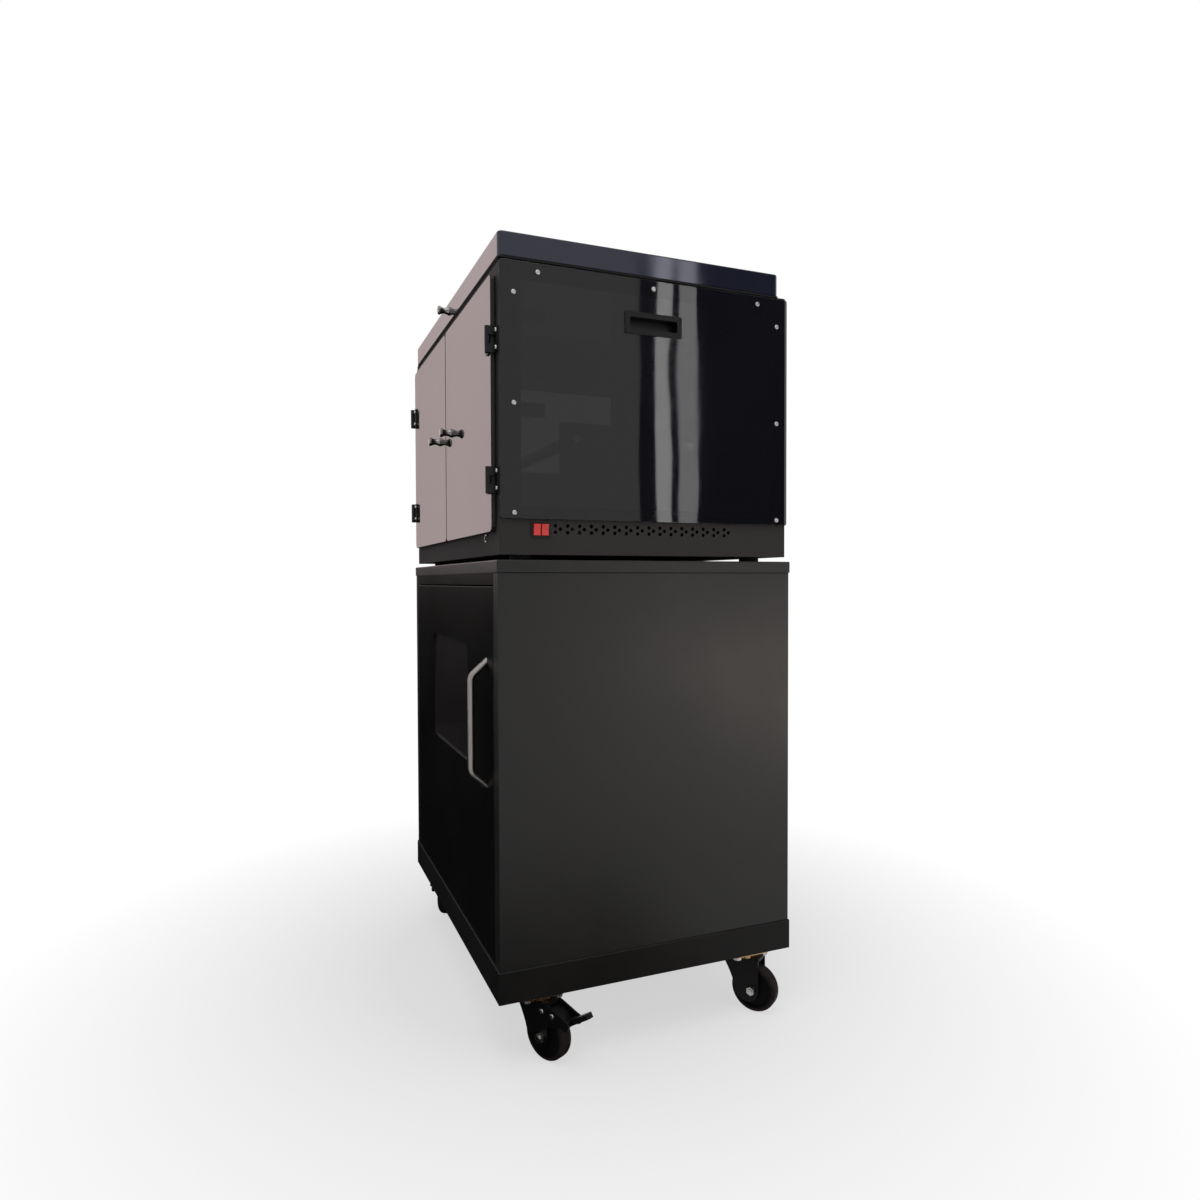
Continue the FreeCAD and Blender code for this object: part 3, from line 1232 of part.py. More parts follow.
os.makedirs("parts", exist_ok=True)
for name, shape in pieces.items():
    shape.exportStep("parts/" + name + ".step")
print(len(pieces), "nodes written")
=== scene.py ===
# %% [markdown]
# # A filament dryer tower
# A heated chamber with smoked doors, side panels and a hinged lid stands on a black steel cabinet that rolls on
# four castors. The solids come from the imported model, so this lesson only lights them, gives them their finishes
# and adds the small trim that is easier to model here than in the solids.

# %% load the frame
import json
import math

import bpy
from mathutils import Matrix, Vector


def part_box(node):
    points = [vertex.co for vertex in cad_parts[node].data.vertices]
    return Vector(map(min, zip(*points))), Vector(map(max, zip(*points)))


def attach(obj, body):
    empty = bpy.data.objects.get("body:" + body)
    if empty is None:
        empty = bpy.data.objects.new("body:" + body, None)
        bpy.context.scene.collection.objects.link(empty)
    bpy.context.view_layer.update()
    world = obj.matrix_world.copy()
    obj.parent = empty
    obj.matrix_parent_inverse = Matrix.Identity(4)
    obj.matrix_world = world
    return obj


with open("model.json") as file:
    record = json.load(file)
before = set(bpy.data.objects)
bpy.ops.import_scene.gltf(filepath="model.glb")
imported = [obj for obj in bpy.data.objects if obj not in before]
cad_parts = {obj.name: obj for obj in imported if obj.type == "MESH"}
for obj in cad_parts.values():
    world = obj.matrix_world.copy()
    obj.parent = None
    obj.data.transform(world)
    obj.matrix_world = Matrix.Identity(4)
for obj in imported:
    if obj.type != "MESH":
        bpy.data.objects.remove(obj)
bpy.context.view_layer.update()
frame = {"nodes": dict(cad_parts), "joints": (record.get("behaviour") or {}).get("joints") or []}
nodes = frame["nodes"]
joints = {joint["name"]: joint for joint in frame["joints"]}
corners = ("front_right", "rear_right", "front_left", "rear_left")

# %% [markdown]
# The camera stands at the right front, at about the height of the cabinet's top, and looks almost square at the
# right side. Its place, turn and lens were worked out from the corners of the two boxes, so the render lines up
# with the picture without any shift of the lens. Operators act on all that is selected, and the loaded solids are,
# so everything is deselected before anything is added.

# %% camera
camera_place = Vector((1.55299, -0.5732, 0.74781))
camera_yaw = math.radians(67.7148)
camera_pitch = math.radians(-1.2863)
camera_roll = math.radians(-0.1755)
sensor_width, lens_length = 36.0, 24.78
forward = Vector((-math.sin(camera_yaw) * math.cos(camera_pitch),
                  math.cos(camera_yaw) * math.cos(camera_pitch), math.sin(camera_pitch)))
level_right = Vector((math.cos(camera_yaw), math.sin(camera_yaw), 0))
level_up = level_right.cross(forward)
right = level_right * math.cos(camera_roll) + level_up * math.sin(camera_roll)
up = level_up * math.cos(camera_roll) - level_right * math.sin(camera_roll)


def deselect():
    bpy.ops.object.select_all(action="DESELECT")


deselect()
bpy.ops.object.camera_add()
camera = bpy.context.object
camera.name = "camera"
camera.data.sensor_width = sensor_width
camera.data.lens = lens_length
camera.matrix_world = Matrix.Translation(camera_place) @ Matrix((right, up, -forward)).transposed().to_4x4()
bpy.context.scene.camera = camera
bpy.context.scene.view_settings.view_transform = "Standard"
print("camera at", [round(c, 3) for c in camera.location])

# %% [markdown]
# The object stands on a plain pale floor in front of a white surround. The world is white where the camera, a
# reflection or a clear pane looks at it, and gives a lower, even light everywhere else. Close to the tower the floor
# is partly matt, so the wheels keep a soft shadow on it, and further out it fades to plain white.

# %% surround
ambient_level = 0.4


def sums(tree, operation, first, second):
    node = tree.nodes.new("ShaderNodeMath")
    node.operation = operation
    for socket, value in zip(node.inputs, (first, second)):
        if isinstance(value, (int, float)):
            socket.default_value = value
        else:
            tree.links.new(value, socket)
    return node.outputs[0]


def sees_background(tree):
    path = tree.nodes.new("ShaderNodeLightPath").outputs
    seen = sums(tree, "MAXIMUM", path["Is Camera Ray"], path["Is Glossy Ray"])
    return sums(tree, "MAXIMUM", seen, path["Is Transmission Ray"])


world = bpy.data.worlds.new("white_surround")
bpy.context.scene.world = world
world.use_nodes = True
tree = world.node_tree
background = tree.nodes["Background"]
background.inputs["Color"].default_value = (1, 1, 1, 1)
level = tree.nodes.new("ShaderNodeMapRange")
level.inputs["To Min"].default_value = ambient_level
level.inputs["To Max"].default_value = 1.0
tree.links.new(sees_background(tree), level.inputs["Value"])
tree.links.new(level.outputs["Result"], background.inputs["Strength"])
print("surround", world.name, "with ambient light of", ambient_level)

# %% floor
floor_size = 40.0
floor_shade = (0.65, 0.65, 0.65, 1)
floor_glow = 0.6
shadow_reach = (0.35, 1.1)
floor_material = bpy.data.materials.new("pale_floor")
floor_material.use_nodes = True
tree = floor_material.node_tree
tree.nodes.clear()
matt = tree.nodes.new("ShaderNodeBsdfDiffuse")
matt.inputs["Color"].default_value = floor_shade
glow = tree.nodes.new("ShaderNodeEmission")
glow.inputs["Strength"].default_value = 1.0
distance = tree.nodes.new("ShaderNodeVectorMath")
distance.operation = "LENGTH"
tree.links.new(tree.nodes.new("ShaderNodeTexCoord").outputs["Object"], distance.inputs[0])
fade = tree.nodes.new("ShaderNodeMapRange")
for label, value in zip(("From Min", "From Max", "To Min"), shadow_reach + (floor_glow,)):
    fade.inputs[label].default_value = value
tree.links.new(distance.outputs["Value"], fade.inputs["Value"])
share = sums(tree, "MULTIPLY", sees_background(tree), fade.outputs["Result"])
mix = tree.nodes.new("ShaderNodeMixShader")
out = tree.nodes.new("ShaderNodeOutputMaterial")
tree.links.new(share, mix.inputs[0])
tree.links.new(matt.outputs[0], mix.inputs[1])
tree.links.new(glow.outputs[0], mix.inputs[2])
tree.links.new(mix.outputs[0], out.inputs["Surface"])

deselect()
bpy.ops.mesh.primitive_plane_add(size=floor_size)
floor = bpy.context.object
floor.name = "floor"
floor.data.materials.append(floor_material)
print("floor of", floor_size, "m")

# %% [markdown]
# Black gloss has hardly any colour of its own: it shows what stands around it. One large soft box overhead and a
# low, warm one at the right light the tower. Two narrow strips give the side panel its upright streaks. Each lamp is
# an area light whose power is its brightness times its area, so a larger box is softer and not brighter.

# %% soft boxes
watts_per_square_metre = 4


def soft_box(name, place, aim, width, height, brightness, tint=(1, 1, 1)):
    lamp = bpy.data.lights.new(name, "AREA")
    lamp.color = tint
    lamp.shape = "RECTANGLE"
    lamp.size = width
    lamp.size_y = height
    lamp.energy = brightness * watts_per_square_metre * width * height
    holder = bpy.data.objects.new(name, lamp)
    bpy.context.scene.collection.objects.link(holder)
    holder.location = place
    holder.rotation_euler = (Vector(aim) - Vector(place)).to_track_quat("-Z", "Y").to_euler()
    holder.visible_camera = False
    return holder


overhead = soft_box("overhead_box", place=(0.9, -0.5, 3.2), aim=(0, 0, 0.6), width=2.2, height=2.2,
                    brightness=1.5)
near_strip = soft_box("near_strip", place=(2.6, 1.167, 1.65), aim=(0, 1.167, 1.65), width=0.075, height=1.6,
                      brightness=4.5)
far_strip = soft_box("far_strip", place=(2.6, 1.293, 1.65), aim=(0, 1.293, 1.65), width=0.1, height=1.6,
                     brightness=3.0)
low_box = soft_box("low_box", place=(2.6, 1.95, 0.27), aim=(0.35, 0.1, 0.3), width=1.6, height=0.5,
                   brightness=4.0, tint=(1, 0.87, 0.78))
print("lamps", [lamp.name for lamp in (overhead, near_strip, far_strip, low_box)])

# %% [markdown]
# Photographers stand cards beside gloss. A warm pale one at the left is what the chamber doors and the front of
# the lid mirror, and below it a dark grey one that deepens towards the floor does the same for the cabinet's
# front. A deep blue one behind the strips keeps the rear half of the side panel dark, and dark ones lie on the
# floor. Only reflections see the cards, so they cast no shade. Each glowing paper is given two places along an axis
# and its strength at each.

# %% paper for the cards
def new_material(name):
    material = bpy.data.materials.new(name)
    material.use_nodes = True
    return material, material.node_tree, material.node_tree.nodes["Principled BSDF"]


dark_tint = (0.01, 0.01, 0.013, 1)
dark_paper, tree, shader = new_material("dark_paper")
shader.inputs["Base Color"].default_value = dark_tint
shader.inputs["Roughness"].default_value = 1.0
shader.inputs["Specular IOR Level"].default_value = 0.0


def glowing_paper(name, tint, axis, near, far):
    material, tree, shader = new_material(name)
    shader.inputs["Base Color"].default_value = (0, 0, 0, 1)
    shader.inputs["Specular IOR Level"].default_value = 0.0
    shader.inputs["Emission Color"].default_value = tint
    across = tree.nodes.new("ShaderNodeSeparateXYZ")
    tree.links.new(tree.nodes.new("ShaderNodeNewGeometry").outputs["Position"], across.inputs[0])
    falloff = tree.nodes.new("ShaderNodeMapRange")
    for label, value in zip(("From Min", "To Min", "From Max", "To Max"), near + far):
        falloff.inputs[label].default_value = value
    tree.links.new(across.outputs[axis], falloff.inputs["Value"])
    tree.links.new(falloff.outputs["Result"], shader.inputs["Emission Strength"])
    return material


warm_paper = glowing_paper("warm_paper", (1.0, 0.82, 0.81, 1), "Y", (-1.1, 1.44), (-0.65, 0.9))
grey_paper = glowing_paper("grey_paper", (1.0, 0.94, 0.92, 1), "Z", (0.1, 0.0), (0.85, 0.04))
blue_paper = glowing_paper("blue_paper", (0.62, 0.66, 1.0, 1), "Z", (0.95, 0.12), (2.5, 0.16))
print("papers", [paper.name for paper in (dark_paper, warm_paper, grey_paper, blue_paper)])


# %% cards
def card(name, low, high, paper):
    size = [b - a for a, b in zip(low, high)]
    turn = {0: (0, math.pi / 2, 0), 1: (math.pi / 2, 0, 0), 2: (0, 0, 0)}[size.index(0)]
    deselect()
    bpy.ops.mesh.primitive_plane_add(size=1.0, location=[(a + b) / 2 for a, b in zip(low, high)], rotation=turn)
    piece = bpy.context.object
    piece.name = name
    piece.scale = [(size[2], size[1], 1), (size[0], size[2], 1), (size[0], size[1], 1)][size.index(0)]
    piece.data.materials.append(paper)
    piece.visible_camera = False
    piece.visible_diffuse = False
    piece.visible_shadow = False
    piece.visible_transmission = False
    return piece


cards = [card("door_card", (-2.9, -1.7, 0.91), (-2.9, 0.0, 3.2), warm_paper),
         card("rear_card", (2.75, 1.116, 0.95), (2.75, 3.2, 3.2), blue_paper),
         card("front_low_card", (-2.75, -2.4, 0.0), (-2.75, 0.4, 0.9), grey_paper),
         card("front_floor_card", (-2.75, -2.4, 0.004), (0.4, -0.1, 0.004), dark_paper),
         card("side_floor_card", (0.42, -0.7, 0.004), (1.0, 0.2, 0.004), dark_paper)]
print("cards", [piece.name for piece in cards])

# %% [markdown]
# Many finishes here share the same small effects, so each effect is one node group. Powder coat, moulded plastic
# and rubber all have a fine skin: a grain that is felt more than seen, and a slow change of shade over a hand's
# width. The group reads Object coordinates, which are metres on this model. Noise seldom leaves the span from 0.3
# to 0.7, so that span is stretched over the full range.

# %% helpers for node groups
def new_group(name, inputs, outputs):
    group = bpy.data.node_groups.new(name, "ShaderNodeTree")
    for label, kind, value in inputs:
        socket = group.interface.new_socket(label, in_out="INPUT", socket_type="NodeSocket" + kind)
        socket.default_value = value
    for label, kind in outputs:
        group.interface.new_socket(label, in_out="OUTPUT", socket_type="NodeSocket" + kind)
    return group, group.nodes.new("NodeGroupInput"), group.nodes.new("NodeGroupOutput")


def noise(tree, vector, scale, detail, rough=0.5):
    node = tree.nodes.new("ShaderNodeTexNoise")
    node.inputs["Detail"].default_value = detail
    node.inputs["Roughness"].default_value = rough
    tree.links.new(vector, node.inputs["Vector"])
    if isinstance(scale, (int, float)):
        node.inputs["Scale"].default_value = scale
    else:
        tree.links.new(scale, node.inputs["Scale"])
    return node.outputs["Fac"]


def spread(tree, value, low, high, to_low, to_high):
    node = tree.nodes.new("ShaderNodeMapRange")
    for socket, number in zip(("From Min", "From Max"), (low, high)):
        node.inputs[socket].default_value = number
    for socket, number in zip(("To Min", "To Max"), (to_low, to_high)):
        if isinstance(number, (int, float)):
            node.inputs[socket].default_value = number
        else:
            tree.links.new(number, node.inputs[socket])
    tree.links.new(value, node.inputs["Value"])
    return node.outputs["Result"]


def mix_colour(tree, share, first, second):
    node = tree.nodes.new("ShaderNodeMix")
    node.data_type = "RGBA"
    for socket, value in zip((node.inputs["Factor"], node.inputs[6], node.inputs[7]), (share, first, second)):
        if hasattr(value, "node"):
            tree.links.new(value, socket)
        else:
            socket.default_value = value
    return node.outputs[2]


def object_coordinates(tree):
    return tree.nodes.new("ShaderNodeTexCoord").outputs["Object"]


print("helpers", [helper.__name__ for helper in (new_group, noise, spread, mix_colour, object_coordinates)])

# %% skin group
noise_span = (0.3, 0.7)
slow_share, fine_share = 0.7, 0.3
skin, given, result = new_group(
    "fine_skin", [("Dark", "Color", (0.01, 0.01, 0.01, 1)), ("Light", "Color", (0.02, 0.02, 0.02, 1)),
                  ("Grain", "Float", 900.0), ("Smooth", "Float", 0.4), ("Rough", "Float", 0.6)],
    [("Color", "Color"), ("Roughness", "Float"), ("Height", "Float")])
place = object_coordinates(skin)
slow = noise(skin, place, 5.0, 4.0, 0.6)
fine = noise(skin, place, given.outputs["Grain"], 2.0)
shade = sums(skin, "ADD", spread(skin, slow, *noise_span, 0.0, slow_share),
             spread(skin, fine, *noise_span, 0.0, fine_share))
skin.links.new(mix_colour(skin, shade, given.outputs["Dark"], given.outputs["Light"]), result.inputs["Color"])
skin.links.new(spread(skin, slow, *noise_span, given.outputs["Smooth"], given.outputs["Rough"]),
               result.inputs["Roughness"])
skin.links.new(fine, result.inputs["Height"])
print("group", skin.name)

# %% [markdown]
# Dust settles on faces that look up and gathers in patches. The mask is the upward part of the normal, in the
# object's own axes, times a blotchy noise, so it needs no painting and stays on the lid when that tips open.

# %% dust group
dust, given, result = new_group("settled_dust", [("Amount", "Float", 0.3)], [("Mask", "Float")])
split = dust.nodes.new("ShaderNodeSeparateXYZ")
dust.links.new(dust.nodes.new("ShaderNodeTexCoord").outputs["Normal"], split.inputs[0])
facing_up = spread(dust, split.outputs["Z"], 0.55, 1.0, 0.0, 1.0)
patches = spread(dust, noise(dust, object_coordinates(dust), 24.0, 5.0, 0.65), 0.35, 0.75, 0.15, 1.0)
amount = sums(dust, "MULTIPLY", sums(dust, "MULTIPLY", facing_up, patches), given.outputs["Amount"])
dust.links.new(amount, result.inputs["Mask"])
dust_colour, dust_roughness = (0.17, 0.16, 0.15, 1), 0.9


def dusty(amount):
    return dust, {"Amount": amount}, dust_colour, dust_roughness


print("group", dust.name)

# %% [markdown]
# Acrylic sheet is polished on its two faces and only sawn along its edges, so the edges are matt. The mask
# compares the face's normal, in the object's own axes, with the direction that the sheet lies across.

# %% sawn edge group
sawn, given, result = new_group("sawn_edge", [("Across", "Vector", (1.0, 0.0, 0.0))], [("Mask", "Float")])
along = sawn.nodes.new("ShaderNodeVectorMath")
along.operation = "DOT_PRODUCT"
sawn.links.new(sawn.nodes.new("ShaderNodeTexCoord").outputs["Normal"], along.inputs[0])
sawn.links.new(given.outputs["Across"], along.inputs[1])
facing = sums(sawn, "ABSOLUTE", along.outputs["Value"], 0.0)
sawn.links.new(spread(sawn, facing, 0.6, 0.95, 1.0, 0.0), result.inputs["Mask"])
sawn_colour, sawn_roughness = (0.002, 0.002, 0.0025, 1), 0.62


def sawn_across(axis):
    return sawn, {"Across": axis}, sawn_colour, sawn_roughness


print("group", sawn.name)

# %% [markdown]
# Where the cabinet's cover and plinth meet the shell, and under the rim of the lid, a dark line is painted into the
# colour: painted shade for seams that get no light. The mask is a narrow band of height, so a painted seam shade
# only needs a level and a width. The levels come from the solids' boxes.

# %% painted seam shade group
seam_shade_width = 0.0016
seam_shade, given, result = new_group("painted_seam_shade", [("Level", "Float", 0.0), ("Width", "Float", seam_shade_width)],
                                [("Mask", "Float")])
height = seam_shade.nodes.new("ShaderNodeSeparateXYZ")
seam_shade.links.new(object_coordinates(seam_shade), height.inputs[0])
away = sums(seam_shade, "ABSOLUTE", sums(seam_shade, "SUBTRACT", height.outputs["Z"], given.outputs["Level"]), 0.0)
seam_shade.links.new(spread(seam_shade, sums(seam_shade, "DIVIDE", away, given.outputs["Width"]), 0.5, 1.0, 1.0, 0.0),
               result.inputs["Mask"])
seam_shade_colour, seam_shade_roughness = (0.001, 0.001, 0.001, 1), 0.95


def seam_shade_at(level, width=seam_shade_width):
    return seam_shade, {"Level": level, "Width": width}, seam_shade_colour, seam_shade_roughness


print("group", seam_shade.name)

# %% [markdown]
# Brushed and plated metal both carry fine lines. Noise that is squeezed across a direction turns into hairlines
# along it, and the same noise unsqueezed gives the cloudy spangle of zinc.

# %% metal line group
lines, given, result = new_group(
    "hairlines", [("Squeeze", "Vector", (600.0, 600.0, 12.0)), ("Dark", "Color", (0.4, 0.4, 0.4, 1)),
                  ("Light", "Color", (0.6, 0.6, 0.6, 1)), ("Smooth", "Float", 0.2), ("Rough", "Float", 0.4)],
    [("Color", "Color"), ("Roughness", "Float"), ("Height", "Float")])
stretch = lines.nodes.new("ShaderNodeVectorMath")
stretch.operation = "MULTIPLY"
lines.links.new(object_coordinates(lines), stretch.inputs[0])
lines.links.new(given.outputs["Squeeze"], stretch.inputs[1])
hair = noise(lines, stretch.outputs[0], 1.0, 4.0, 0.6)
share = spread(lines, hair, *noise_span, 0.0, 1.0)
lines.links.new(mix_colour(lines, share, given.outputs["Dark"], given.outputs["Light"]), result.inputs["Color"])
lines.links.new(spread(lines, hair, *noise_span, given.outputs["Smooth"], given.outputs["Rough"]),
                result.inputs["Roughness"])
lines.links.new(hair, result.inputs["Height"])
print("group", lines.name)

# %% [markdown]
# Every finish below is a Principled shader fed by these groups. A helper places the group that makes the surface
# and a bump node, then lays the masked effects over the colour and the roughness. A bump is given as its strength
# and its depth in metres. What is the same all over the surface is written straight on the shader's own sockets.

# %% finish helper
def place_group(tree, group, values):
    node = tree.nodes.new("ShaderNodeGroup")
    node.node_tree = group
    for label, value in values.items():
        node.inputs[label].default_value = value
    return node.outputs


def finish(name, group, values, bump, overlays=(), **constants):
    material, tree, shader = new_material(name)
    surface = place_group(tree, group, values)
    colour, roughness = surface["Color"], surface["Roughness"]
    for mask_group, settings, cover_colour, cover_roughness in overlays:
        mask = place_group(tree, mask_group, settings)["Mask"]
        colour = mix_colour(tree, mask, colour, cover_colour)
        roughness = spread(tree, mask, 0.0, 1.0, roughness, cover_roughness)
    tree.links.new(colour, shader.inputs["Base Color"])
    tree.links.new(roughness, shader.inputs["Roughness"])
    relief = tree.nodes.new("ShaderNodeBump")
    for label, value in zip(("Strength", "Distance"), bump):
        relief.inputs[label].default_value = value
    tree.links.new(surface["Height"], relief.inputs["Height"])
    tree.links.new(relief.outputs["Normal"], shader.inputs["Normal"])
    for label, value in constants.items():
        shader.inputs[label.replace("_", " ")].default_value = value
    return material


print("finishes are made from", [group.name for group in bpy.data.node_groups])

# %% [markdown]
# The cabinet is sheet steel with a satin black powder coat: nearly black, with the orange-peel grain of baked
# powder and a broad, weak sheen. Its door and header take a darker copy of the coat with less sheen; the darker
# colour is painted shade, as the front reads darker than the side. The plinth is scuffed flat. Lines of painted
# shade run along the shell's seams at the cover and plinth, and under the lid's rim on the chamber's frame. The
# chamber's frame and its base pan have flatter, greyer coats, and the castor forks a thin black enamel.

# %% paint
orange_peel = (0.28, 0.00025)
peel_scale = 1100.0
# Where the band of painted shade under the lid's rim sits, below the rim, and how wide it is.
lid_shade_drop, lid_shade_width = 0.003, 0.009
cover_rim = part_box("cabinet_top")[0][2]
plinth_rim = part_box("cabinet_base")[1][2]
lid_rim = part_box("lid_cover")[0][2]
powder = {"Dark": (0.0085, 0.008, 0.0078, 1), "Light": (0.0125, 0.0118, 0.0113, 1), "Grain": peel_scale,
          "Smooth": 0.32, "Rough": 0.42}
powder_coat = finish("black_powder_coat", skin, powder, orange_peel, overlays=[dusty(0.16)],
                     Specular_IOR_Level=0.28)
# The shell's coat carries painted shade: dark lines along the seams under the cover and above the plinth.
shell_coat = finish("powder_coat_with_painted_seam_shade", skin, powder, orange_peel,
                    overlays=[seam_shade_at(cover_rim), seam_shade_at(plinth_rim)], Specular_IOR_Level=0.28)
plinth_coat = finish("flat_plinth_coat", skin, powder, orange_peel, overlays=[dusty(0.16)],
                     Specular_IOR_Level=0.1)
# Painted shade: the door and header get a darker copy of the powder coat, so the cabinet's front reads darker.
shaded_front_coat = finish("shaded_front_powder_coat", skin,
                   {"Dark": (0.0035, 0.0033, 0.0032, 1), "Light": (0.006, 0.0057, 0.0055, 1), "Grain": peel_scale,
                    "Smooth": 0.28, "Rough": 0.36}, (0.2, 0.00025), Specular_IOR_Level=0.05)
# The chamber's coat carries painted shade: a dark band on the frame's rail just under the lid's rim.
chamber_coat = finish("flat_chamber_coat", skin,
                      {"Dark": (0.024, 0.022, 0.0218, 1), "Light": (0.031, 0.0285, 0.028, 1), "Grain": peel_scale,
                       "Smooth": 0.5, "Rough": 0.62}, orange_peel,
                      overlays=[dusty(0.12), seam_shade_at(lid_rim - lid_shade_drop, lid_shade_width)],
                      Specular_IOR_Level=0.06)
base_coat = finish("flat_base_coat", skin,
                   {"Dark": (0.042, 0.039, 0.0385, 1), "Light": (0.052, 0.0485, 0.048, 1), "Grain": peel_scale,
                    "Smooth": 0.7, "Rough": 0.85}, orange_peel, overlays=[dusty(0.12)], Specular_IOR_Level=0.06)
castor_enamel = finish("castor_enamel", skin,
                       {"Dark": (0.0025, 0.0025, 0.0025, 1), "Light": (0.005, 0.005, 0.005, 1), "Grain": 800.0,
                        "Smooth": 0.3, "Rough": 0.45}, (0.2, 0.0003), overlays=[dusty(0.08)],
                       Specular_IOR_Level=0.12)
print("paint made, seams at", [round(rim, 3) for rim in (cover_rim, plinth_rim, lid_rim)])

# %% [markdown]
# Pull cups, hinges and small mouldings are black plastic with a fine grain. Seals and feet are rubber, which is
# duller and holds more dust. The rocker paddles are glossy red, and the control board has a green solder mask.

# %% plastics
moulded_black = finish("moulded_black_plastic", skin,
                       {"Dark": (0.003, 0.003, 0.003, 1), "Light": (0.006, 0.006, 0.006, 1), "Grain": 1600.0,
                        "Smooth": 0.28, "Rough": 0.42}, (0.3, 0.0002), overlays=[dusty(0.08)],
                       Specular_IOR_Level=0.2)
rubber = finish("black_rubber", skin,
                {"Dark": (0.006, 0.006, 0.006, 1), "Light": (0.014, 0.013, 0.013, 1), "Grain": 700.0,
                 "Smooth": 0.7, "Rough": 0.85}, (0.35, 0.0004), overlays=[dusty(0.2)], Specular_IOR_Level=0.3)
red_plastic = finish("red_switch_plastic", skin,
                     {"Dark": (0.62, 0.012, 0.009, 1), "Light": (0.9, 0.028, 0.02, 1), "Grain": 900.0,
                      "Smooth": 0.22, "Rough": 0.34}, (0.12, 0.0002), Coat_Weight=0.3, Coat_Roughness=0.1)
board_green = finish("solder_mask_green", skin,
                     {"Dark": (0.004, 0.05, 0.02, 1), "Light": (0.012, 0.1, 0.04, 1), "Grain": 260.0,
                      "Smooth": 0.25, "Rough": 0.45}, (0.3, 0.0005), overlays=[dusty(0.1)])
print("plastics made:", [plastic.name for plastic in (moulded_black, rubber, red_plastic, board_green)])

# %% [markdown]
# Doors and side panels are smoked acrylic sheet. It is so dark that the inside only just shows through the sides
# and hardly at all through the thicker doors. It is polished, but never quite flat: a slow ripple bends what it
# mirrors. Finger marks and wiping leave the gloss a little uneven. The lid is a moulded cover with a blue-black
# gloss.

# %% smoked acrylic
sheet_ripple, cast_ripple = (0.25, 0.004), (0.2, 0.003)
smoked_acrylic = finish("smoked_acrylic", skin,
                        {"Dark": (0.004, 0.004, 0.005, 1), "Light": (0.006, 0.006, 0.0075, 1), "Grain": 3.2,
                         "Smooth": 0.015, "Rough": 0.05}, sheet_ripple,
                        overlays=[sawn_across((1.0, 0.0, 0.0))], IOR=1.49, Alpha=0.7)
door_acrylic = finish("smoked_door_acrylic", skin,
                      {"Dark": (0.004, 0.004, 0.005, 1), "Light": (0.006, 0.006, 0.0075, 1), "Grain": 3.2,
                       "Smooth": 0.02, "Rough": 0.06}, sheet_ripple,
                      overlays=[sawn_across((0.0, 1.0, 0.0))], IOR=1.49, Alpha=0.9)
lid_gloss = finish("blue_black_lid", skin,
                   {"Dark": (0.0085, 0.0095, 0.018, 1), "Light": (0.012, 0.0135, 0.026, 1), "Grain": 3.0,
                    "Smooth": 0.05, "Rough": 0.12}, cast_ripple, overlays=[dusty(0.1)], IOR=1.52,
                   Specular_Tint=(0.84, 0.84, 1.0, 1))
# The window's brownish grey colour is painted reflection: the pane is given the tone of the room it mirrors.
window_pane = finish("dark_window", skin,
                     {"Dark": (0.026, 0.023, 0.0228, 1), "Light": (0.036, 0.0315, 0.031, 1), "Grain": 3.6,
                      "Smooth": 0.03, "Rough": 0.08}, cast_ripple, IOR=1.45, Alpha=0.92)
print("sheets and lid made:", [sheet.name for sheet in (smoked_acrylic, door_acrylic, lid_gloss, window_pane)])

# %% [markdown]
# The metals: plain zinc on screws and bolts, the brownish yellow film of chromated zinc on the castor plates, satin
# stainless steel on the bar handle, drawn aluminium on the spool rods and heater. The knobs are turned from darker
# steel, so their lines run round the knob, across its length.

# %% metals
zinc = finish("zinc_plate", lines,
              {"Squeeze": (160.0, 160.0, 160.0), "Dark": (0.3, 0.29, 0.28, 1), "Light": (0.54, 0.52, 0.5, 1),
               "Smooth": 0.22, "Rough": 0.4}, (0.08, 0.0003), Metallic=1.0)
yellow_zinc = finish("yellow_zinc_plate", lines,
                     {"Squeeze": (60.0, 60.0, 40.0), "Dark": (0.3, 0.14, 0.1, 1), "Light": (0.5, 0.38, 0.18, 1),
                      "Smooth": 0.2, "Rough": 0.36}, (0.06, 0.0003), Metallic=1.0)
satin_steel = finish("satin_stainless", lines,
                     {"Squeeze": (1500.0, 1500.0, 40.0), "Dark": (0.18, 0.166, 0.157, 1),
                      "Light": (0.3, 0.28, 0.265, 1), "Smooth": 0.26, "Rough": 0.4}, (0.1, 0.0002), Metallic=1.0)
turned_steel = finish("turned_knob_steel", lines,
                      {"Squeeze": (30.0, 2600.0, 30.0), "Dark": (0.12, 0.112, 0.108, 1),
                       "Light": (0.25, 0.235, 0.228, 1), "Smooth": 0.14, "Rough": 0.26}, (0.12, 0.0002),
                      Metallic=1.0)
drawn_aluminium = finish("drawn_aluminium", lines,
                         {"Squeeze": (25.0, 900.0, 900.0), "Dark": (0.5, 0.5, 0.5, 1),
                          "Light": (0.72, 0.72, 0.72, 1), "Smooth": 0.25, "Rough": 0.42}, (0.1, 0.0002),
                         Metallic=1.0)
print("metals made:", [metal.name for metal in (zinc, yellow_zinc, satin_steel, turned_steel, drawn_aluminium)])

# %% [markdown]
# A castor wheel is one dark moulding with a softer tread cast round it. The tread is painted a brownish grey in
# uneven patches: a painted warm highlight, where the tread catches the light. Its border is a circle round the axle,
# so the mask measures the distance from the axle's line, which differs at each corner.

# %% wheel finish
tread_start, tread_blur = 0.0335, 0.0006
dim_tread_highlight, bright_tread_highlight = (0.009, 0.0066, 0.0066, 1), (0.03, 0.021, 0.021, 1)


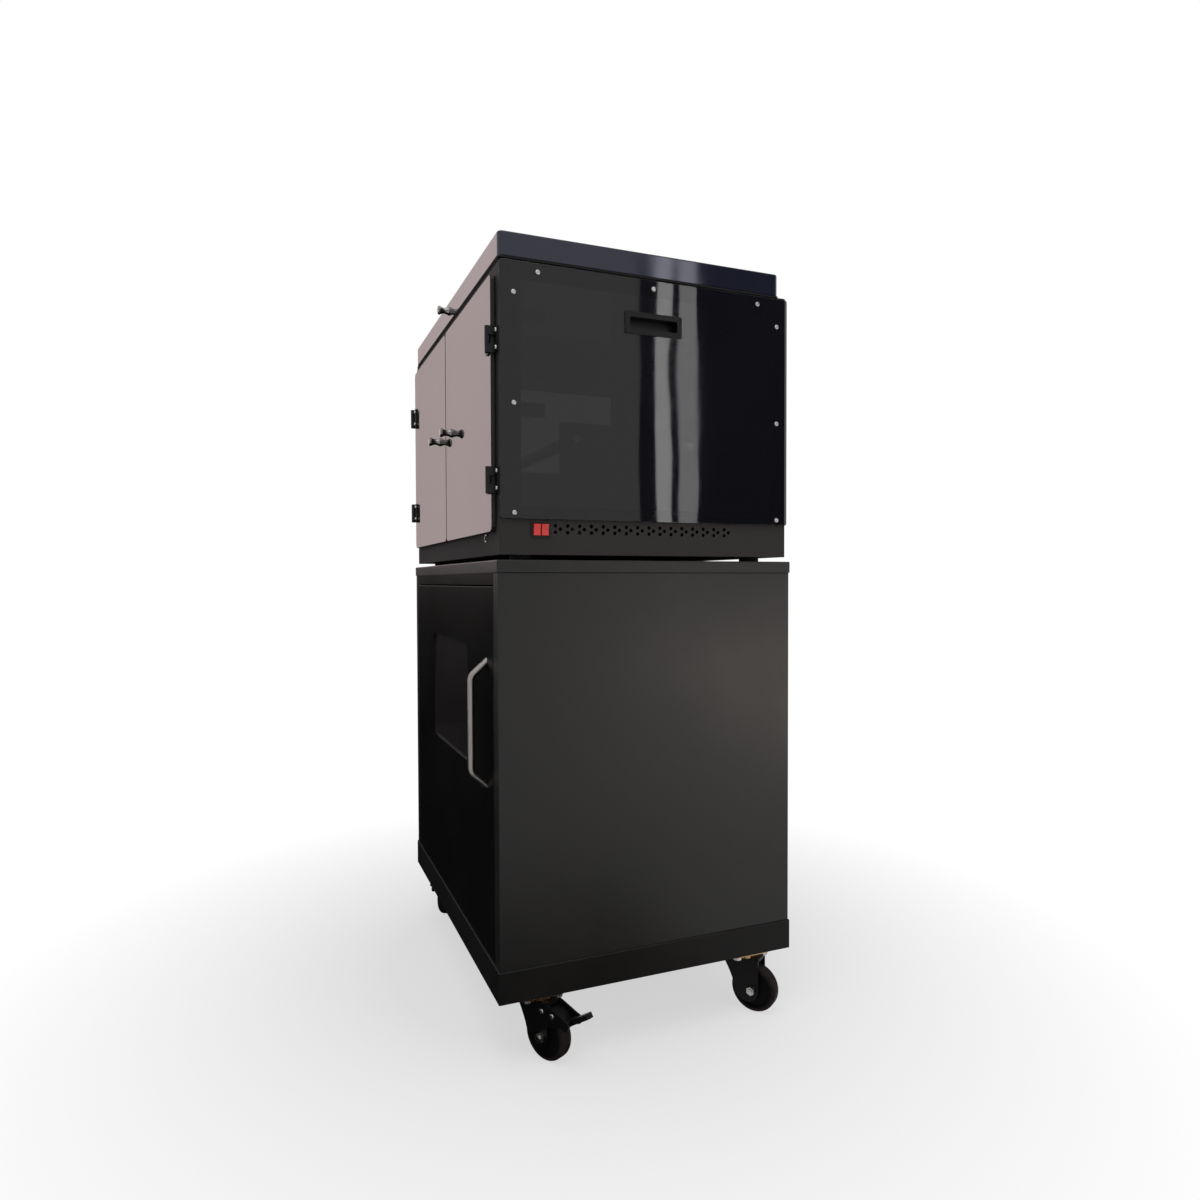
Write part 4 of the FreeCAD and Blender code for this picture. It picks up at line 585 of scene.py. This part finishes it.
def wheel_finish(corner):
    joint = joints[corner + "_roll"]
    material = finish(corner + "_wheel_finish", skin,
                      {"Dark": (0.003, 0.003, 0.003, 1), "Light": (0.007, 0.0065, 0.0065, 1), "Grain": 900.0,
                       "Smooth": 0.5, "Rough": 0.65}, (0.25, 0.0003), Specular_IOR_Level=0.04)
    tree = material.node_tree
    shader = tree.nodes["Principled BSDF"]
    offset = tree.nodes.new("ShaderNodeVectorMath")
    offset.operation = "SUBTRACT"
    offset.inputs[1].default_value = joint["pos_m"]
    tree.links.new(object_coordinates(tree), offset.inputs[0])
    across = tree.nodes.new("ShaderNodeVectorMath")
    across.operation = "CROSS_PRODUCT"
    across.inputs[1].default_value = joint["axis"]
    tree.links.new(offset.outputs[0], across.inputs[0])
    radius = tree.nodes.new("ShaderNodeVectorMath")
    radius.operation = "LENGTH"
    tree.links.new(across.outputs[0], radius.inputs[0])
    tread = spread(tree, radius.outputs["Value"], tread_start, tread_start + tread_blur, 0.0, 1.0)
    # The painted warm highlight on the tread, uneven in patches.
    highlight_patches = noise(tree, object_coordinates(tree), 60.0, 5.0, 0.7)
    tread_highlight = mix_colour(tree, spread(tree, highlight_patches, *noise_span, 0.0, 1.0), dim_tread_highlight, bright_tread_highlight)
    colour = shader.inputs["Base Color"].links[0].from_socket
    tree.links.new(mix_colour(tree, tread, colour, tread_highlight), shader.inputs["Base Color"])
    return material


wheel_finishes = {corner + "_wheel": wheel_finish(corner) for corner in corners}
print("wheel finishes for", list(wheel_finishes))

# %% [markdown]
# Now each solid gets its finish. Only its material slot is changed and its mesh is left alone. Plain powder coat is
# the rule, so only the other finishes are listed, each with the solids that take it.

# %% dress the solids
finishes = {
    smoked_acrylic: ["right_side_panel", "left_side_panel"],
    door_acrylic: ["right_door", "left_door"],
    window_pane: ["door_window"],
    lid_gloss: ["lid_cover"],
    shell_coat: ["cabinet_shell"],
    plinth_coat: ["cabinet_base"],
    shaded_front_coat: ["cabinet_door", "header_rail"],
    chamber_coat: ["chamber_frame"],
    base_coat: ["chamber_base"],
    castor_enamel: ["front_right_brake", "front_left_brake"] + [corner + "_fork" for corner in corners],
    moulded_black: ["side_grips", "frame_hinge_leaves", "right_door_hinge_leaves", "left_door_hinge_leaves",
                    "lid_hinge_leaves", "switch_housing", "power_inlet", "fan_frame", "fan_rotor",
                    "humidity_sensor", "push_button"],
    zinc: ["screws_and_bolts", "hinge_pins", "button_bezel", "power_supply"]
          + [corner + "_axle" for corner in corners],
    yellow_zinc: ["castor_plates"],
    satin_steel: ["door_handle"],
    turned_steel: ["right_door_knob", "left_door_knob", "lid_knob"],
    drawn_aluminium: ["front_spool_rod", "rear_spool_rod", "heater_element"],
    red_plastic: ["front_rocker", "rear_rocker"],
    rubber: ["window_seal", "chamber_seals", "chamber_feet"],
    board_green: ["control_board"],
}
finish_of = {name: material for material, names in finishes.items() for name in names}
finish_of.update(wheel_finishes)
for name, node in nodes.items():
    node.data.materials.clear()
    node.data.materials.append(finish_of.get(name, powder_coat))
print(len(finish_of), "solids listed,", len(nodes) - len(finish_of), "in powder coat")

# %% [markdown]
# The screws in the moving hinge leaves are button heads with a hexagon socket. One is modelled flat on the origin:
# a disc is extruded to the height of the head, its upper rim is bevelled round, and a six-sided plug is taken out
# of it with a Boolean. A rivet head is the same without the socket, and rounder.

# %% screw and rivet heads
def take(piece):
    deselect()
    piece.select_set(True)
    bpy.context.view_layer.objects.active = piece


def round_head(name, radius, height, crown):
    deselect()
    bpy.ops.mesh.primitive_circle_add(vertices=32, radius=radius, fill_type="NGON")
    piece = bpy.context.object
    piece.name = name
    bpy.ops.object.mode_set(mode="EDIT")
    bpy.ops.mesh.select_all(action="SELECT")
    bpy.ops.mesh.extrude_region_move(TRANSFORM_OT_translate={"value": (0, 0, height)})
    bpy.ops.mesh.bevel(offset=crown, segments=5, affect="EDGES")
    bpy.ops.mesh.select_all(action="SELECT")
    bpy.ops.mesh.normals_make_consistent(inside=False)
    bpy.ops.object.mode_set(mode="OBJECT")
    return piece


screw_radius, screw_height, screw_crown = 0.0038, 0.0022, 0.0014
socket_radius, socket_depth = 0.00145, 0.0012
rivet_radius, rivet_height, rivet_crown = 0.0042, 0.0016, 0.0015
screw_model = round_head("screw_model", screw_radius, screw_height, screw_crown)
deselect()
bpy.ops.mesh.primitive_cylinder_add(vertices=6, radius=socket_radius, depth=2 * socket_depth,
                                    location=(0, 0, screw_height))
plug = bpy.context.object
socket = screw_model.modifiers.new("socket", "BOOLEAN")
socket.operation = "DIFFERENCE"
socket.object = plug
take(screw_model)
bpy.ops.object.modifier_apply(modifier=socket.name)
bpy.data.objects.remove(plug)
rivet_model = round_head("rivet_model", rivet_radius, rivet_height, rivet_crown)
print("screw head of", len(screw_model.data.polygons), "faces, rivet of", len(rivet_model.data.polygons))

# %% [markdown]
# Each head is copied with its own mesh, turned to face out of the surface it holds and set down on it. Applying
# the move leaves the object at the origin, as the solids are. The places come from the boxes of the hinge leaves,
# so the screws stay in the leaves if those move.

# %% screws in the hinge leaves
smooth_angle = math.radians(40)


def set_down(model, name, place, facing, body, material):
    take(model)
    bpy.ops.object.duplicate()
    piece = bpy.context.object
    piece.name = name
    piece.location = place
    piece.rotation_euler = Vector(facing).to_track_quat("Z", "Y").to_euler()
    bpy.ops.object.transform_apply(location=True, rotation=True, scale=False)
    bpy.ops.object.shade_smooth_by_angle(angle=smooth_angle)
    piece.data.materials.clear()
    piece.data.materials.append(material)
    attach(piece, body)
    return piece


hinge_half, leaf_thickness, screw_half_pitch, screw_inset = 0.020, 0.0025, 0.013, 0.009
leaf_low, leaf_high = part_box("right_door_hinge_leaves")
door_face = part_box("right_door")[0][1]
levels = [middle + step for middle in (leaf_low[2] + hinge_half, leaf_high[2] - hinge_half)
          for step in (-screw_half_pitch, screw_half_pitch)]
trim = []
for side, door in ((1, "right_door"), (-1, "left_door")):
    for count, level in enumerate(levels):
        place = (side * (leaf_low[0] + screw_inset), door_face - leaf_thickness, level)
        name = door + "_screw_" + str(count)
        trim.append(set_down(screw_model, name, place, (0, -1, 0), door, zinc))
lid_leaf_half, lid_leaf_thickness, lid_screw_half_pitch = 0.025, 0.002, 0.016
lid_low, lid_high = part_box("lid_hinge_leaves")
for side in (-1, 1):
    for step in (-lid_screw_half_pitch, lid_screw_half_pitch):
        place = (side * (lid_high[0] - lid_leaf_half) + step, lid_low[1] + lid_leaf_thickness,
                 lid_high[2] - screw_inset)
        name = "lid_screw_" + str(len(trim))
        trim.append(set_down(screw_model, name, place, (0, 1, 0), "lid", zinc))
print(len(trim), "screws set down")

# %% [markdown]
# On the braked castors each cheek carries two rivets in its upper part. They are copied as the screws are, and their
# places are measured in the castor's own directions: along the way it trails, across the wheel, and up.

# %% rivets in the braked forks
cheek_face = 0.0165
rivet_spots = ((0.0244, 0.080), (0.0461, 0.0789))
for corner in ("front_right", "front_left"):
    pivot = Vector(joints[corner + "_swivel"]["pos_m"])
    trail = Vector(joints[corner + "_roll"]["pos_m"]) - pivot
    trail.z = 0
    trail.normalize()
    across = Vector((0, 0, 1)).cross(trail)
    for side in (-1, 1):
        for reach, rise in rivet_spots:
            place = Vector((pivot.x, pivot.y, rise)) + trail * reach + across * (side * cheek_face)
            name = corner + "_rivet_" + str(len(trim))
            trim.append(set_down(rivet_model, name, place, across * side, corner + "_castor", zinc))
for model in (screw_model, rivet_model):
    bpy.data.objects.remove(model)
print(len(trim), "heads in all")
